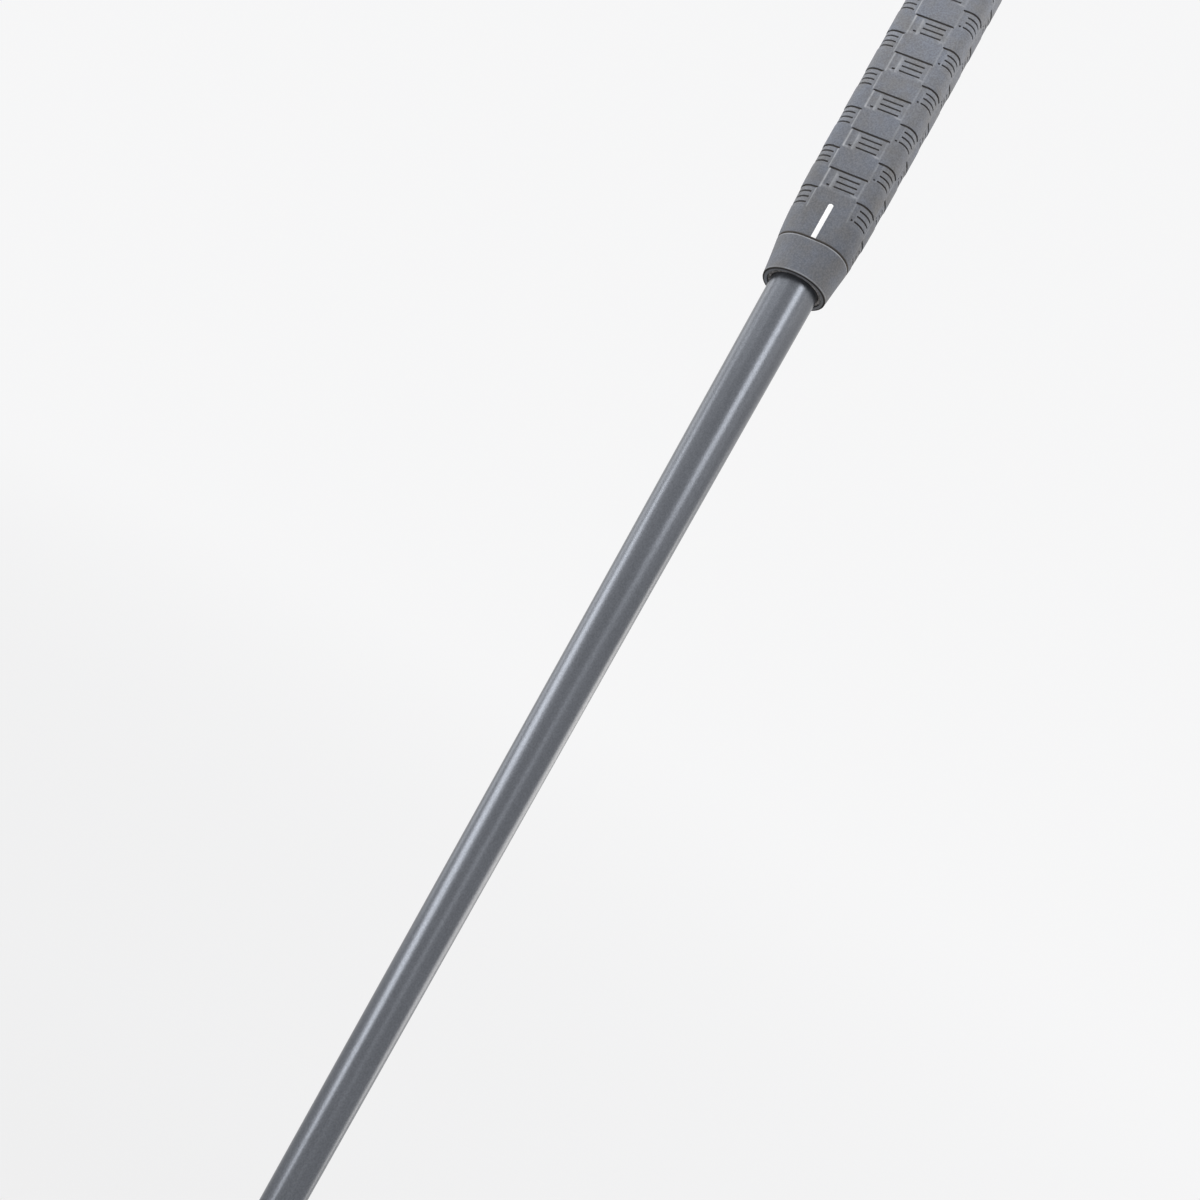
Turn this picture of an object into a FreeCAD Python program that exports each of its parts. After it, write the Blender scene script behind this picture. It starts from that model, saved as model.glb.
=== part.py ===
import FreeCAD, Part
import math
import os

# Millimetres. The sole rests on the plane Z = 0 with its middle at the origin.
# The striking face looks along -Y, the toe is at -X and the heel at +X.

Vector = FreeCAD.Vector
UP = Vector(0, 0, 1)
RIGHT = Vector(1, 0, 0)
BACK = Vector(0, 1, 0)

# Whole club
club_length = 864.0
lie_angle = 70.0
loft_angle = 3.0
axis_face_shift = 19.0

# Head
head_length = 118.0
head_depth = 27.0
blade_height = 25.0
blade_thickness = 8.6
blade_top_radius = 10.0
bumper_height = 18.0
bumper_drop = 4.0
bumper_radius = 8.0
bumper_edge_radius = 1.0
flange_height = 5.6
bumper_length = 27.0
cavity_radius = 4.0
sole_edge_radius = 2.0
head_edge_radius = 0.9

# Striking insert
insert_foot_gap = 4.5
insert_height = 16.0
insert_thickness = 3.4
membrane_thickness = 0.8
insert_screw_inset = 5.0
insert_screw_head_radius = 2.2
insert_screw_head_height = 1.4
insert_screw_radius = 1.2
insert_screw_length = 6.6
insert_screw_slot_width = 0.7
insert_screw_slot_depth = 0.6

# Sight line
sight_line_width = 1.6
sight_line_length = 15.0
sight_line_depth = 0.6
sight_line_rear_margin = 1.8

# Sole weights
weight_end_margin = 14.0
weight_rear_shift = 1.2
weight_radius = 7.5
weight_flange_height = 3.2
weight_shank_radius = 5.0
weight_shank_length = 8.0
weight_recess = 0.4
weight_edge = 0.4
washer_thickness = 0.8
hex_key_width = 4.0
hex_key_depth = 3.0
weight_flange_clearance = 0.08
weight_thread_clearance = 0.06
weight_end_room = 0.6

# Neck
neck_post_width = 12.0
neck_post_depth = 7.8
neck_heel_margin = 22.0
neck_arm_bottom = 38.0
neck_arm_top = 50.0
neck_edge_radius = 1.6
neck_foot_width = 9.0
neck_foot_depth = 5.0
neck_foot_length = 11.0
neck_screw_radius = 1.4
neck_screw_length = 4.4
neck_screw_spacing = 5.0
neck_screw_drop = 3.0
neck_screw_key_radius = 0.7
neck_screw_key_depth = 1.2
neck_screw_recess = 0.3
hosel_radius = 6.8
hosel_bottom = 36.5
hosel_top = 80.0
hosel_edge = 0.8
socket_bottom = 52.0
glue_gap = 0.05
ferrule_length = 11.0
ferrule_tip_wall = 0.6

# Shaft
shaft_tip_radius = 4.7
shaft_tip_length = 218.0
shaft_middle_radius = 6.25
shaft_middle_above_tip = 218.5
shaft_mouth_radius = 7.22
shaft_butt_radius = 7.36
shaft_wall = 0.6
shaft_butt_setback = 6.0
tip_plug_length = 12.0
tip_plug_inset = 2.0

# Grip, measured up from its mouth
grip_length = 267.0
grip_front = 9.65
band_length = 12.5
skin_thickness = 1.3
tape_thickness = 0.18
tape_inset = 3.0
core_recess = 0.5
core_gap = 0.06
mark_length = 12.0
mark_width = 1.5
mark_depth = 0.6

# Grip sections: height over the mouth or share of the grip, half width, corner radius,
# back distance
mouth_half_width = 9.65
mouth_corner = 9.4
mouth_back = 9.6
throat_height = 8.0
throat_half_width = 10.56
throat_corner = 9.3
throat_back = 10.4
joint_half_width = 11.1
joint_corner = 9.3
joint_back = 10.9
shoulder_height = 24.0
shoulder_half_width = 11.72
shoulder_corner = 8.6
shoulder_back = 11.3
lower_height = 47.0
lower_half_width = 12.12
lower_corner = 7.3
lower_back = 11.6
waist_height_share = 0.375
waist_half_width = 12.3
waist_corner = 6.3
waist_back = 11.2
upper_height_share = 0.62
upper_half_width = 12.45
upper_corner = 6.0
upper_back = 12.2
swell_height_share = 0.843
swell_half_width = 12.9
swell_corner = 6.0
swell_back = 16.4

# Butt cap
cap_thickness = 3.6
cap_edge_radius = 1.5
cap_shaft_gap = 0.3
vent_radius = 2.0

# Extra length on a cutting tool, so it passes clear of what it cuts
overrun = 2.0

mouth_height = club_length - grip_length
skin_top = grip_length - cap_thickness
shaft_butt = club_length - shaft_butt_setback
pocket_depth = insert_thickness + membrane_thickness
insert_mid_height = blade_height / 2
neck_screw_height = blade_height - neck_screw_drop
weight_place = head_length / 2 - weight_end_margin
neck_place = head_length / 2 - neck_heel_margin
insert_length = 2 * (neck_place - neck_foot_width / 2 - insert_foot_gap)
neck_arm_middle = (neck_arm_bottom + neck_arm_top) / 2
axis_heel_shift = neck_place - neck_arm_middle / math.tan(math.radians(lie_angle))


def on_shaft_axis(shape):
    """Moves a shape built along Z, front towards -X, onto the leaning shaft axis."""
    turned = shape.copy()
    turned.rotate(Vector(0, 0, 0), BACK, 90.0 - lie_angle)
    turned.translate(Vector(axis_heel_shift, -axis_face_shift, 0))
    return turned


def save(name, shape):
    """Writes one piece to its own file."""
    shape.exportStep("parts/" + name + ".step")


def block(low, high):
    """A box between two corners."""
    span = high - low
    return Part.makeBox(span.x, span.y, span.z, low)


def edges_along(shape, direction, test):
    """The straight edges of a shape along a direction whose middle passes the test."""
    found = []
    for edge in shape.Edges:
        if edge.Closed or len(edge.Vertexes) < 2:
            continue
        chord = edge.Vertexes[1].Point - edge.Vertexes[0].Point
        straight_share = chord.Length / edge.Length
        aligned_share = abs(chord.dot(direction)) / edge.Length
        if min(straight_share, aligned_share) > 0.999999 and test(edge.CenterOfMass):
            found.append(edge)
    return found


def hexagon_prism(width, low, length):
    """A hexagonal prism along Z, for a key socket."""
    corner = width / math.sqrt(3)
    points = []
    for step in range(7):
        angle = math.radians(60 * step)
        points.append(low + Vector(corner * math.cos(angle), corner * math.sin(angle), 0))
    return Part.Face(Part.makePolygon(points)).extrude(Vector(0, 0, length))


# Head

def face_y(height):
    """Where the lofted face stands at a height over the sole."""
    return -head_depth / 2 + height * math.tan(math.radians(loft_angle))


def face_frame(shape):
    """Moves a shape built with Z out of the face and Y up the face to the insert's middle."""
    placed = shape.copy()
    placed.rotate(Vector(0, 0, 0), RIGHT, 90.0 - loft_angle)
    placed.translate(Vector(0, face_y(insert_mid_height), insert_mid_height))
    return placed


def stadium(length, height, low, thickness):
    """A plate with half round ends, lying in the face's own frame."""
    radius = height / 2
    half = length / 2 - radius
    middle = block(Vector(-half, -radius, low), Vector(half, radius, low + thickness))
    left = Part.makeCylinder(radius, thickness, Vector(-half, 0, low))
    right = Part.makeCylinder(radius, thickness, Vector(half, 0, low))
    return middle.fuse([left, right]).removeSplitter()


def insert_screw(x, grow):
    """One countersunk screw in the face's own frame, grown by a gap to make its hole."""
    head = Part.makeCone(insert_screw_radius + grow, insert_screw_head_radius + grow,
                         insert_screw_head_height, Vector(x, 0, -insert_screw_head_height))
    shank = Part.makeCylinder(insert_screw_radius + grow, insert_screw_length + grow,
                              Vector(x, 0, -insert_screw_length - grow))
    return head.fuse(shank).removeSplitter()


def insert_screw_places():
    half = insert_length / 2 - insert_screw_inset
    return [-half, half]


def neck_screw_places():
    return [neck_place - neck_screw_spacing / 2, neck_place + neck_screw_spacing / 2]


def blade_back():
    return blade_thickness - head_depth / 2


def post_front():
    return blade_back() - neck_post_depth


def post_middle():
    return blade_back() - neck_post_depth / 2


def weight_places():
    return {"toe": -weight_place, "heel": weight_place}


def head_outline():
    """The head's front outline as a block: flat sole and two round upper corners."""
    half = head_length / 2
    outline = block(Vector(-half, -head_depth / 2, 0), Vector(half, head_depth / 2, blade_height))
    return outline.makeFillet(blade_top_radius,
                              edges_along(outline, BACK, lambda p: p.z > blade_height / 2))


def rear_part():
    """The heel and toe bumpers with the low flange between them, rounded on top.

    It reaches into the blade, so that it fills the rounding of the blade's rear edge.
    """
    half = head_length / 2
    rear = head_depth / 2
    front = blade_back() - 2 * head_edge_radius
    inner = half - bumper_length
    base = head_outline().common(block(Vector(-half, front, 0), Vector(half, rear, blade_height)))
    base = base.makeFillet(bumper_radius, edges_along(base, UP, lambda p: p.y > rear / 2))
    side = Part.Face(Part.makePolygon([
        Vector(-half - overrun, front - overrun, bumper_height),
        Vector(-half - overrun, blade_back(), bumper_height),
        Vector(-half - overrun, rear, bumper_height - bumper_drop),
        Vector(-half - overrun, rear + overrun, bumper_height - bumper_drop),
        Vector(-half - overrun, rear + overrun, blade_height + overrun),
        Vector(-half - overrun, front - overrun, blade_height + overrun),
        Vector(-half - overrun, front - overrun, bumper_height)]))
    base = base.cut(side.extrude(Vector(head_length + 2 * overrun, 0, 0)))
    cavity = block(Vector(-inner, blade_back(), flange_height),
                   Vector(inner, rear + overrun, blade_height + overrun))
    cavity = cavity.makeFillet(cavity_radius, edges_along(cavity, UP, lambda p: p.y < rear))
    base = base.cut(cavity)
    edges = []
    for edge in base.Edges:
        box = edge.BoundBox
        on_front = box.YMax < blade_back() + bumper_edge_radius / 2
        above = box.ZMin > bumper_height - bumper_drop - bumper_edge_radius / 2
        opening = (abs(edge.CenterOfMass.x) < inner + bumper_edge_radius
                   and box.YMin > rear - bumper_edge_radius / 2
                   and box.ZMin > flange_height - bumper_edge_radius / 2)
        if not on_front and (above or opening):
            edges.append(edge)
    return base.makeFillet(bumper_edge_radius, edges)


def head_form():
    """The lofted blade joined to the bumpers and the flange behind it."""
    half = head_length / 2
    front = -head_depth / 2
    blade = head_outline().common(block(Vector(-half, front, 0),
                                        Vector(half, blade_back(), blade_height)))
    lofted = Part.Face(Part.makePolygon([
        Vector(-half - overrun, face_y(-overrun), -overrun),
        Vector(-half - overrun, face_y(blade_height + overrun), blade_height + overrun),
        Vector(-half - overrun, front - overrun, blade_height + overrun),
        Vector(-half - overrun, front - overrun, -overrun),
        Vector(-half - overrun, face_y(-overrun), -overrun)]))
    blade = blade.cut(lofted.extrude(Vector(head_length + 2 * overrun, 0, 0)))
    middle = (front + blade_back()) / 2
    top_rear = edges_along(blade, RIGHT, lambda p: p.z > blade_height / 2 and p.y > middle)
    blade = blade.makeFillet(head_edge_radius, top_rear)
    return blade.fuse(rear_part()).removeSplitter()


def soften_head(form):
    """Rounds the sole's rim behind the face and the upper outline of the face."""
    sole_rim = []
    for edge in form.Edges:
        if edge.BoundBox.ZMax < head_edge_radius / 2 and edge.CenterOfMass.y > face_y(0) / 2:
            sole_rim.append(edge)
    form = form.makeFillet(sole_edge_radius, sole_rim)
    middle = (face_y(0) + blade_back()) / 2
    top = blade_height - head_edge_radius
    top_front = edges_along(form, RIGHT, lambda p: p.z > top and p.y < middle)
    return form.makeFillet(head_edge_radius, top_front)


def weight_pocket(x):
    """The stepped pocket in the sole that takes a washer and a screwed weight."""
    place = Vector(x, weight_rear_shift, 0)
    wide_depth = weight_recess + weight_flange_height + washer_thickness
    wide = Part.makeCylinder(weight_radius + weight_flange_clearance, wide_depth + overrun,
                             place - Vector(0, 0, overrun))
    deep = Part.makeCylinder(weight_shank_radius + weight_thread_clearance,
                             wide_depth - washer_thickness + weight_shank_length + weight_end_room,
                             place)
    return wide.fuse(deep)


def neck_foot(grow):
    """The foot of the neck, let into the top of the blade."""
    bottom = blade_height - neck_foot_length
    return block(Vector(neck_place - neck_foot_width / 2 - grow,
                        post_middle() - neck_foot_depth / 2 - grow, bottom - grow),
                 Vector(neck_place + neck_foot_width / 2 + grow,
                        post_middle() + neck_foot_depth / 2 + grow, blade_height))


def neck_screw(x):
    """One grub screw driven in from the back of the blade."""
    outer = blade_back() - neck_screw_recess
    return Part.makeCylinder(neck_screw_radius, neck_screw_length,
                             Vector(x, outer, neck_screw_height), -BACK)


def sight_line():
    """The inlay on top of the rear flange."""
    rear = head_depth / 2 - sight_line_rear_margin
    return block(Vector(-sight_line_width / 2, rear - sight_line_length,
                        flange_height - sight_line_depth),
                 Vector(sight_line_width / 2, rear, flange_height))


def head_body():
    form = soften_head(head_form())
    tools = [face_frame(stadium(insert_length, insert_height, -pocket_depth,
                                pocket_depth + overrun))]
    for x in insert_screw_places():
        tools.append(face_frame(insert_screw(x, glue_gap)))
    for x in weight_places().values():
        tools.append(weight_pocket(x))
    for x in neck_screw_places():
        tools.append(neck_screw(x))
        tools.append(Part.makeCylinder(neck_screw_radius, neck_screw_recess + overrun,
                                       Vector(x, blade_back() - neck_screw_recess,
                                              neck_screw_height), BACK))
    tools.append(neck_foot(glue_gap))
    tools.append(sight_line())
    return form.cut(tools)


def face_insert():
    plate = stadium(insert_length, insert_height, -insert_thickness, insert_thickness)
    holes = [insert_screw(x, glue_gap) for x in insert_screw_places()]
    return face_frame(plate.cut(holes))


def insert_membrane():
    plate = stadium(insert_length, insert_height, -pocket_depth, membrane_thickness)
    holes = [insert_screw(x, glue_gap) for x in insert_screw_places()]
    return face_frame(plate.cut(holes))


def insert_screws():
    screws = []
    for x in insert_screw_places():
        slot = block(Vector(x - insert_screw_head_radius - overrun, -insert_screw_slot_width / 2,
                            -insert_screw_slot_depth),
                     Vector(x + insert_screw_head_radius + overrun, insert_screw_slot_width / 2,
                            overrun))
        screws.append(face_frame(insert_screw(x, 0).cut(slot)))
    return Part.makeCompound(screws)


def sole_weight(x):
    """A flanged plug with a threaded shank and a hexagon socket in the sole side."""
    flange = Part.makeCylinder(weight_radius, weight_flange_height,
                               Vector(x, weight_rear_shift, weight_recess))
    rims = [edge for edge in flange.Edges if edge.Closed]
    flange = flange.makeChamfer(weight_edge, rims)
    shank = Part.makeCylinder(weight_shank_radius, weight_flange_height / 2 + weight_shank_length,
                              Vector(x, weight_rear_shift,
                                     weight_recess + weight_flange_height / 2))
    socket = hexagon_prism(hex_key_width, Vector(x, weight_rear_shift, weight_recess - overrun),
                           hex_key_depth + overrun)
    return flange.fuse(shank).removeSplitter().cut(socket)


def sole_washer(x):
    place = Vector(x, weight_rear_shift, weight_recess + weight_flange_height)
    ring = Part.makeCylinder(weight_radius, washer_thickness, place)
    return ring.cut(Part.makeCylinder(weight_shank_radius + weight_thread_clearance,
                                      washer_thickness, place))


# Neck and ferrule

def neck():
    """A post on the blade, an arm forward over the face and the leaning shaft socket."""
    left = neck_place - neck_post_width / 2
    right = neck_place + neck_post_width / 2
    post = block(Vector(left, post_front(), blade_height),
                 Vector(right, blade_back(), neck_arm_top))
    arm = block(Vector(left, -axis_face_shift, neck_arm_bottom),
                Vector(right, blade_back(), neck_arm_top))
    bend = post.fuse(arm).removeSplitter()
    rounded = edges_along(bend, UP, lambda p: True)
    rounded += edges_along(bend, BACK, lambda p: p.z > blade_height + overrun)
    rounded += edges_along(bend, RIGHT, lambda p: p.z > blade_height + overrun)
    bend = bend.makeFillet(neck_edge_radius, rounded)
    hosel = Part.makeCylinder(hosel_radius, hosel_top - hosel_bottom, Vector(0, 0, hosel_bottom))
    ends = [edge for edge in hosel.Edges if edge.Closed and edge.BoundBox.ZMax < hosel_top]
    hosel = on_shaft_axis(hosel.makeFillet(hosel_edge, ends))
    body = bend.fuse([hosel, neck_foot(0)]).removeSplitter()
    socket = on_shaft_axis(Part.makeCylinder(shaft_tip_radius + glue_gap,
                                             hosel_top - socket_bottom + overrun,
                                             Vector(0, 0, socket_bottom)))
    return body.cut([socket] + [neck_screw(x) for x in neck_screw_places()])


def neck_screws():
    screws = []
    for x in neck_screw_places():
        outer = blade_back() - neck_screw_recess
        key = Part.makeCylinder(neck_screw_key_radius, neck_screw_key_depth,
                                Vector(x, outer, neck_screw_height), -BACK)
        screws.append(neck_screw(x).cut(key))
    return Part.makeCompound(screws)


def ferrule():
    cone = Part.makeCone(hosel_radius, shaft_tip_radius + ferrule_tip_wall, ferrule_length,
                         Vector(0, 0, hosel_top))
    bore = Part.makeCylinder(shaft_tip_radius + glue_gap, ferrule_length,
                             Vector(0, 0, hosel_top))
    return on_shaft_axis(cone.cut(bore))


# Shaft

def shaft_outline(inset):
    """Radius and height pairs from tip to butt, drawn in by an inset."""
    return [(shaft_tip_radius - inset, socket_bottom),
            (shaft_tip_radius - inset, socket_bottom + shaft_tip_length),
            (shaft_middle_radius - inset, socket_bottom + shaft_tip_length
             + shaft_middle_above_tip),
            (shaft_mouth_radius - inset, mouth_height),
            (shaft_butt_radius - inset, shaft_butt)]


def turned_solid(outline):
    """Turns a stack of cones, each between two radius and height pairs."""
    points = [Vector(0, 0, outline[0][1])]
    for radius, height in outline:
        points.append(Vector(radius, 0, height))
    points.append(Vector(0, 0, outline[-1][1]))
    points.append(points[0])
    return Part.Face(Part.makePolygon(points)).revolve(Vector(0, 0, 0), UP, 360)


def shaft_radius_at(height):
    """Outer radius of the shaft between its mouth and butt stations."""
    share = (height - mouth_height) / (shaft_butt - mouth_height)
    return shaft_mouth_radius + (shaft_butt_radius - shaft_mouth_radius) * share


def shaft():
    return on_shaft_axis(turned_solid(shaft_outline(0)).cut(turned_solid(shaft_outline(shaft_wall))))


def tip_plug():
    return on_shaft_axis(Part.makeCylinder(shaft_tip_radius - shaft_wall, tip_plug_length,
                                           Vector(0, 0, socket_bottom + tip_plug_inset)))


# Grip

def grip_stations():
    """Height, half width, corner radius and back distance of each section, mouth to butt."""
    return [(0, mouth_half_width, mouth_corner, mouth_back),
            (throat_height, throat_half_width, throat_corner, throat_back),
            (band_length, joint_half_width, joint_corner, joint_back),
            (shoulder_height, shoulder_half_width, shoulder_corner, shoulder_back),
            (lower_height, lower_half_width, lower_corner, lower_back),
            (waist_height_share * grip_length, waist_half_width, waist_corner, waist_back),
            (upper_height_share * grip_length, upper_half_width, upper_corner, upper_back),
            (swell_height_share * grip_length, swell_half_width, swell_corner, swell_back),
            (grip_length, swell_half_width, swell_corner, swell_back)]


def grip_section(station, inset):
    """One closed section: flat front, rounded corners, straight flanks and a round back."""
    height, half_width, corner, back = station
    half_width = half_width - inset
    corner = corner - inset
    front = grip_front - inset
    back = back - inset
    z = mouth_height + height
    side_front = -(front - corner)
    side_back = back - half_width
    diagonal = corner * math.sqrt(0.5)
    flat = half_width - corner
    round_back = half_width * math.sqrt(0.5)
    a = Vector(-front, -flat, z)
    b = Vector(-front, flat, z)
    c = Vector(side_front - diagonal, flat + diagonal, z)
    d = Vector(side_front, half_width, z)
    e = Vector(side_back, half_width, z)
    f = Vector(side_back + round_back, round_back, z)
    g = Vector(back, 0, z)
    h = Vector(side_back + round_back, -round_back, z)
    i = Vector(side_back, -half_width, z)
    j = Vector(side_front, -half_width, z)
    k = Vector(side_front - diagonal, -flat - diagonal, z)
    edges = [Part.makeLine(a, b), Part.Arc(b, c, d).toShape(), Part.makeLine(d, e),
             Part.Arc(e, f, g).toShape(), Part.Arc(g, h, i).toShape(), Part.makeLine(i, j),
             Part.Arc(j, k, a).toShape()]
    return Part.Wire(edges)


def grip_form(inset):
    """The grip's whole outer form, drawn in by an inset."""
    sections = [grip_section(station, inset) for station in grip_stations()]
    highest_degree = 3
    return Part.makeLoft(sections, True, False, False, highest_degree)


def grip_slab(low, high):
    """The part of space between two heights over the mouth, wide enough for the grip."""
    reach = swell_back + swell_half_width
    return block(Vector(-reach, -reach, mouth_height + low),
                 Vector(reach, reach, mouth_height + high))


def grip_tape():
    """The tape sleeve, from just above the mouth to the shaft's butt."""
    low = mouth_height + tape_inset
    sleeve = turned_solid([(shaft_radius_at(low) + tape_thickness, low),
                           (shaft_butt_radius + tape_thickness, shaft_butt)])
    return on_shaft_axis(sleeve.cut(turned_solid(shaft_outline(0))))


def grip_mark():
    """A bar on the flat front with a round upper end and a square lower end."""
    radius = mark_width / 2
    low = mouth_height + band_length
    depth = mark_depth + overrun
    bar = block(Vector(-grip_front - overrun, -radius, low),
                Vector(-grip_front + mark_depth, radius, low + mark_length - radius))
    end = Part.makeCylinder(radius, depth, Vector(-grip_front - overrun, 0,
                                                  low + mark_length - radius), RIGHT)
    return bar.fuse(end).removeSplitter()


def grip_pieces():
    """The core, sleeve, lower band and mark, all cut from the same outer form."""
    outer = grip_form(0)
    inner = grip_form(skin_thickness)
    bore = turned_solid([(shaft_mouth_radius + tape_thickness, mouth_height - overrun),
                         (shaft_mouth_radius + tape_thickness, mouth_height),
                         (shaft_butt_radius + tape_thickness, shaft_butt),
                         (shaft_butt_radius + tape_thickness, club_length + overrun)])
    wall = outer.cut(inner)
    mark_tool = grip_mark()
    mark = mark_tool.common(outer)
    skin = wall.common(grip_slab(band_length, skin_top)).cut(mark_tool)
    band = wall.common(grip_slab(0, band_length))
    filling = grip_form(skin_thickness + core_gap)
    core = filling.common(grip_slab(core_recess, skin_top)).cut(bore)
    return {"grip_skin": skin, "grip_band": band, "grip_core": core, "grip_mark": mark}


def butt_cap():
    """A plate that closes the butt, with a boss over the shaft's end and a vent hole."""
    plate = grip_form(0).common(grip_slab(skin_top, grip_length))
    rim = [edge for edge in plate.Edges
           if edge.BoundBox.ZMin > club_length - cap_thickness / 2]
    plate = plate.makeFillet(cap_edge_radius, rim)
    boss_bottom = shaft_butt + cap_shaft_gap
    boss = Part.makeCylinder(shaft_butt_radius, club_length - cap_thickness / 2 - boss_bottom,
                             Vector(0, 0, boss_bottom))
    vent = Part.makeCylinder(vent_radius, club_length - boss_bottom + 2 * overrun,
                             Vector(0, 0, boss_bottom - overrun))
    return on_shaft_axis(plate.fuse(boss).removeSplitter().cut(vent))


os.makedirs("parts", exist_ok=True)
save("head_body", head_body())
save("face_insert", face_insert())
save("insert_membrane", insert_membrane())
save("insert_screws", insert_screws())
save("sight_line", sight_line())
for side, place in weight_places().items():
    save(side + "_weight", sole_weight(place))
    save(side + "_weight_washer", sole_washer(place))
save("neck", neck())
save("neck_screws", neck_screws())
save("ferrule", ferrule())
save("shaft", shaft())
save("tip_plug", tip_plug())
save("grip_tape", grip_tape())
for name, piece in grip_pieces().items():
    save(name, on_shaft_axis(piece))
save("butt_cap", butt_cap())
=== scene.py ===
import math

import bmesh
import bpy
from bpy.props import FloatProperty, FloatVectorProperty, PointerProperty
from bpy.types import Operator, Panel, PropertyGroup
from mathutils import Matrix, Vector


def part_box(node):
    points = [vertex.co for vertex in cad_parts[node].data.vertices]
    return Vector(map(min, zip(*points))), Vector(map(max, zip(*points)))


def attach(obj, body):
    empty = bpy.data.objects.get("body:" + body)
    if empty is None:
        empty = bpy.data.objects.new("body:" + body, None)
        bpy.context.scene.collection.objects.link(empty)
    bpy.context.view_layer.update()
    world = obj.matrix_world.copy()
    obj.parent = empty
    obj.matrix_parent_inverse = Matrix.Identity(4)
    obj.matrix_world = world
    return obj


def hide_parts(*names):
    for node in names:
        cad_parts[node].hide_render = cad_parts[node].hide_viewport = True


bl_info = {
    "name": "Putter",
    "version": (1, 0, 0),
    "blender": (4, 5, 0),
    "location": "3D View > Sidebar > Putter",
    "description": "Dresses the putter's frame with its grip, shaft, head and studio",
    "category": "Object",
}

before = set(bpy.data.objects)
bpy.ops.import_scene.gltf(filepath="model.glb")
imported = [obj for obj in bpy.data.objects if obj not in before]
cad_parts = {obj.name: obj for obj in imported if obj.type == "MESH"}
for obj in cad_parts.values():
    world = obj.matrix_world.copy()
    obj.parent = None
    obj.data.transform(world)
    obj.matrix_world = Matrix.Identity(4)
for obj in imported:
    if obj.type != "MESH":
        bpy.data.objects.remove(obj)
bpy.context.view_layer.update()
MM = 0.001

# The shaft's axis meets the ground at GROUND_POINT and leans towards the heel by the lie.
# The mouth is the grip's lower end, as a height along the axis. Lengths are in mm.
LIE = math.radians(70.0)
GROUND_POINT = Vector((20.985, -19.0, 0.0))
MOUTH = 597.0

# Grip sections over the mouth: height, half width, corner radius and back distance.
GRIP_FRONT = 9.65
FLANK_SPREAD = math.radians(7.5)
GRIP_STATIONS = (
    (0.0, 9.65, 9.4, 9.6),
    (8.0, 10.56, 9.3, 10.4),
    (11.5, 11.0, 8.7, 10.8),
    (24.0, 11.72, 5.4, 11.3),
    (47.0, 12.0, 4.0, 11.6),
    (100.125, 12.25, 3.55, 11.2),
    (165.54, 12.45, 4.2, 12.2),
    (225.081, 12.9, 5.0, 16.4),
    (267.0, 12.9, 5.0, 16.4),
)
STATION_HEIGHTS = [station[0] for station in GRIP_STATIONS]

# Heights over the mouth of the band's and the sleeve's upper edges, the least plain strip
# at the sleeve's top, and the thickness of both.
BAND_TOP = 11.5
SLEEVE_TOP = 263.4
PLAIN_TOP = 3.0
SKIN = 1.3

# The sleeve is drawn as a flat sheet of columns of panels before it is wrapped round the
# grip. ROW_DROP is how much lower the rows lie beside the front column.
COLUMNS = 8
COLUMN_WIDTH = 9.0
ROW_DROP = 0.4

# Places across a column, as shares of its width: its border line, the foot of a sunk
# panel's wall, and for each kind of panel the short grooves' two ends, the line beside
# them that is made paler for wear and a painted highlight, and the two ends of the dash
# beyond it.
BORDER = 0.03
PANEL_WALL = 0.065
FRONT_PANEL = (0.14, 0.68, 0.76, 0.79, 0.87)
FLANK_PANEL = (0.125, 0.765, 0.8, 0.83, 0.9)

# The sleeve's lower lip: how far its edge is lifted, then the steps up and in that round it.
LIP_LIFT = 0.6
LIP_STEPS = ((-0.2, -0.06), (-0.2, -0.2), (-0.2, -0.44), (0.0, 0.7 - SKIN))
INNER_WALL_STEPS = 14

# The band: the lift of its inner lower edge, its lips' bevels with their segments, the
# heights and depths where it is cut for its worn edges, painted highlights and painted
# shade, and its cuts round the grip.
BAND_INNER_LIFT = 0.13
BAND_LOWER_LIP = (0.2, 2)
BAND_UPPER_LIP = (0.34, 4)
BAND_HEIGHTS = [0.42, 0.6, 0.8] + [1.6 * k for k in range(1, 7)] + [BAND_TOP - 0.55]
BAND_DEPTHS = (-0.28, -0.44, -0.56)
BAND_CUTS = 96

# The white mark over the band.
MARK_LENGTH = 11.6
MARK_WIDTH = 1.5
MARK_THICKNESS = 0.6
MARK_PROUD = 0.04
MARK_GAP = 0.5
MARK_EDGE = 0.07

# Height along the shaft's axis and outer radius.
SHAFT_STATIONS = ((52.0, 4.7), (270.0, 4.7), (488.5, 6.25), (597.0, 7.22), (858.0, 7.36))
SHAFT_WALL = 0.6

# The ferrule tapers between two radii. Each trim groove starts at a height over its foot.
FERRULE_BOTTOM = 80.0
FERRULE_TOP = 91.0
FERRULE_BORE = 4.75
FERRULE_FOOT_RADIUS = 6.8
FERRULE_TIP_RADIUS = 5.3
TRIM_GROOVES = (1.6, 2.8)
TRIM_WIDTH = 0.38
TRIM_WALL = 0.08
TRIM_DEPTH = 0.22

LOFT = math.radians(3.0)
INSERT_HEIGHT = 16.0
INSERT_THICKNESS = 3.4
INSERT_EDGE = 0.22
INSERT_SCREW_INSET = 5.0
INSERT_SCREW_HOLE = 2.3
# The unmilled strip along the insert's long edges, half a milled line's width as a share of
# the pitch, and the width of its sloping wall.
MILLED_MARGIN = 0.8
MILLED_HALF = 0.22
MILLED_WALL = 0.06

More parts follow.
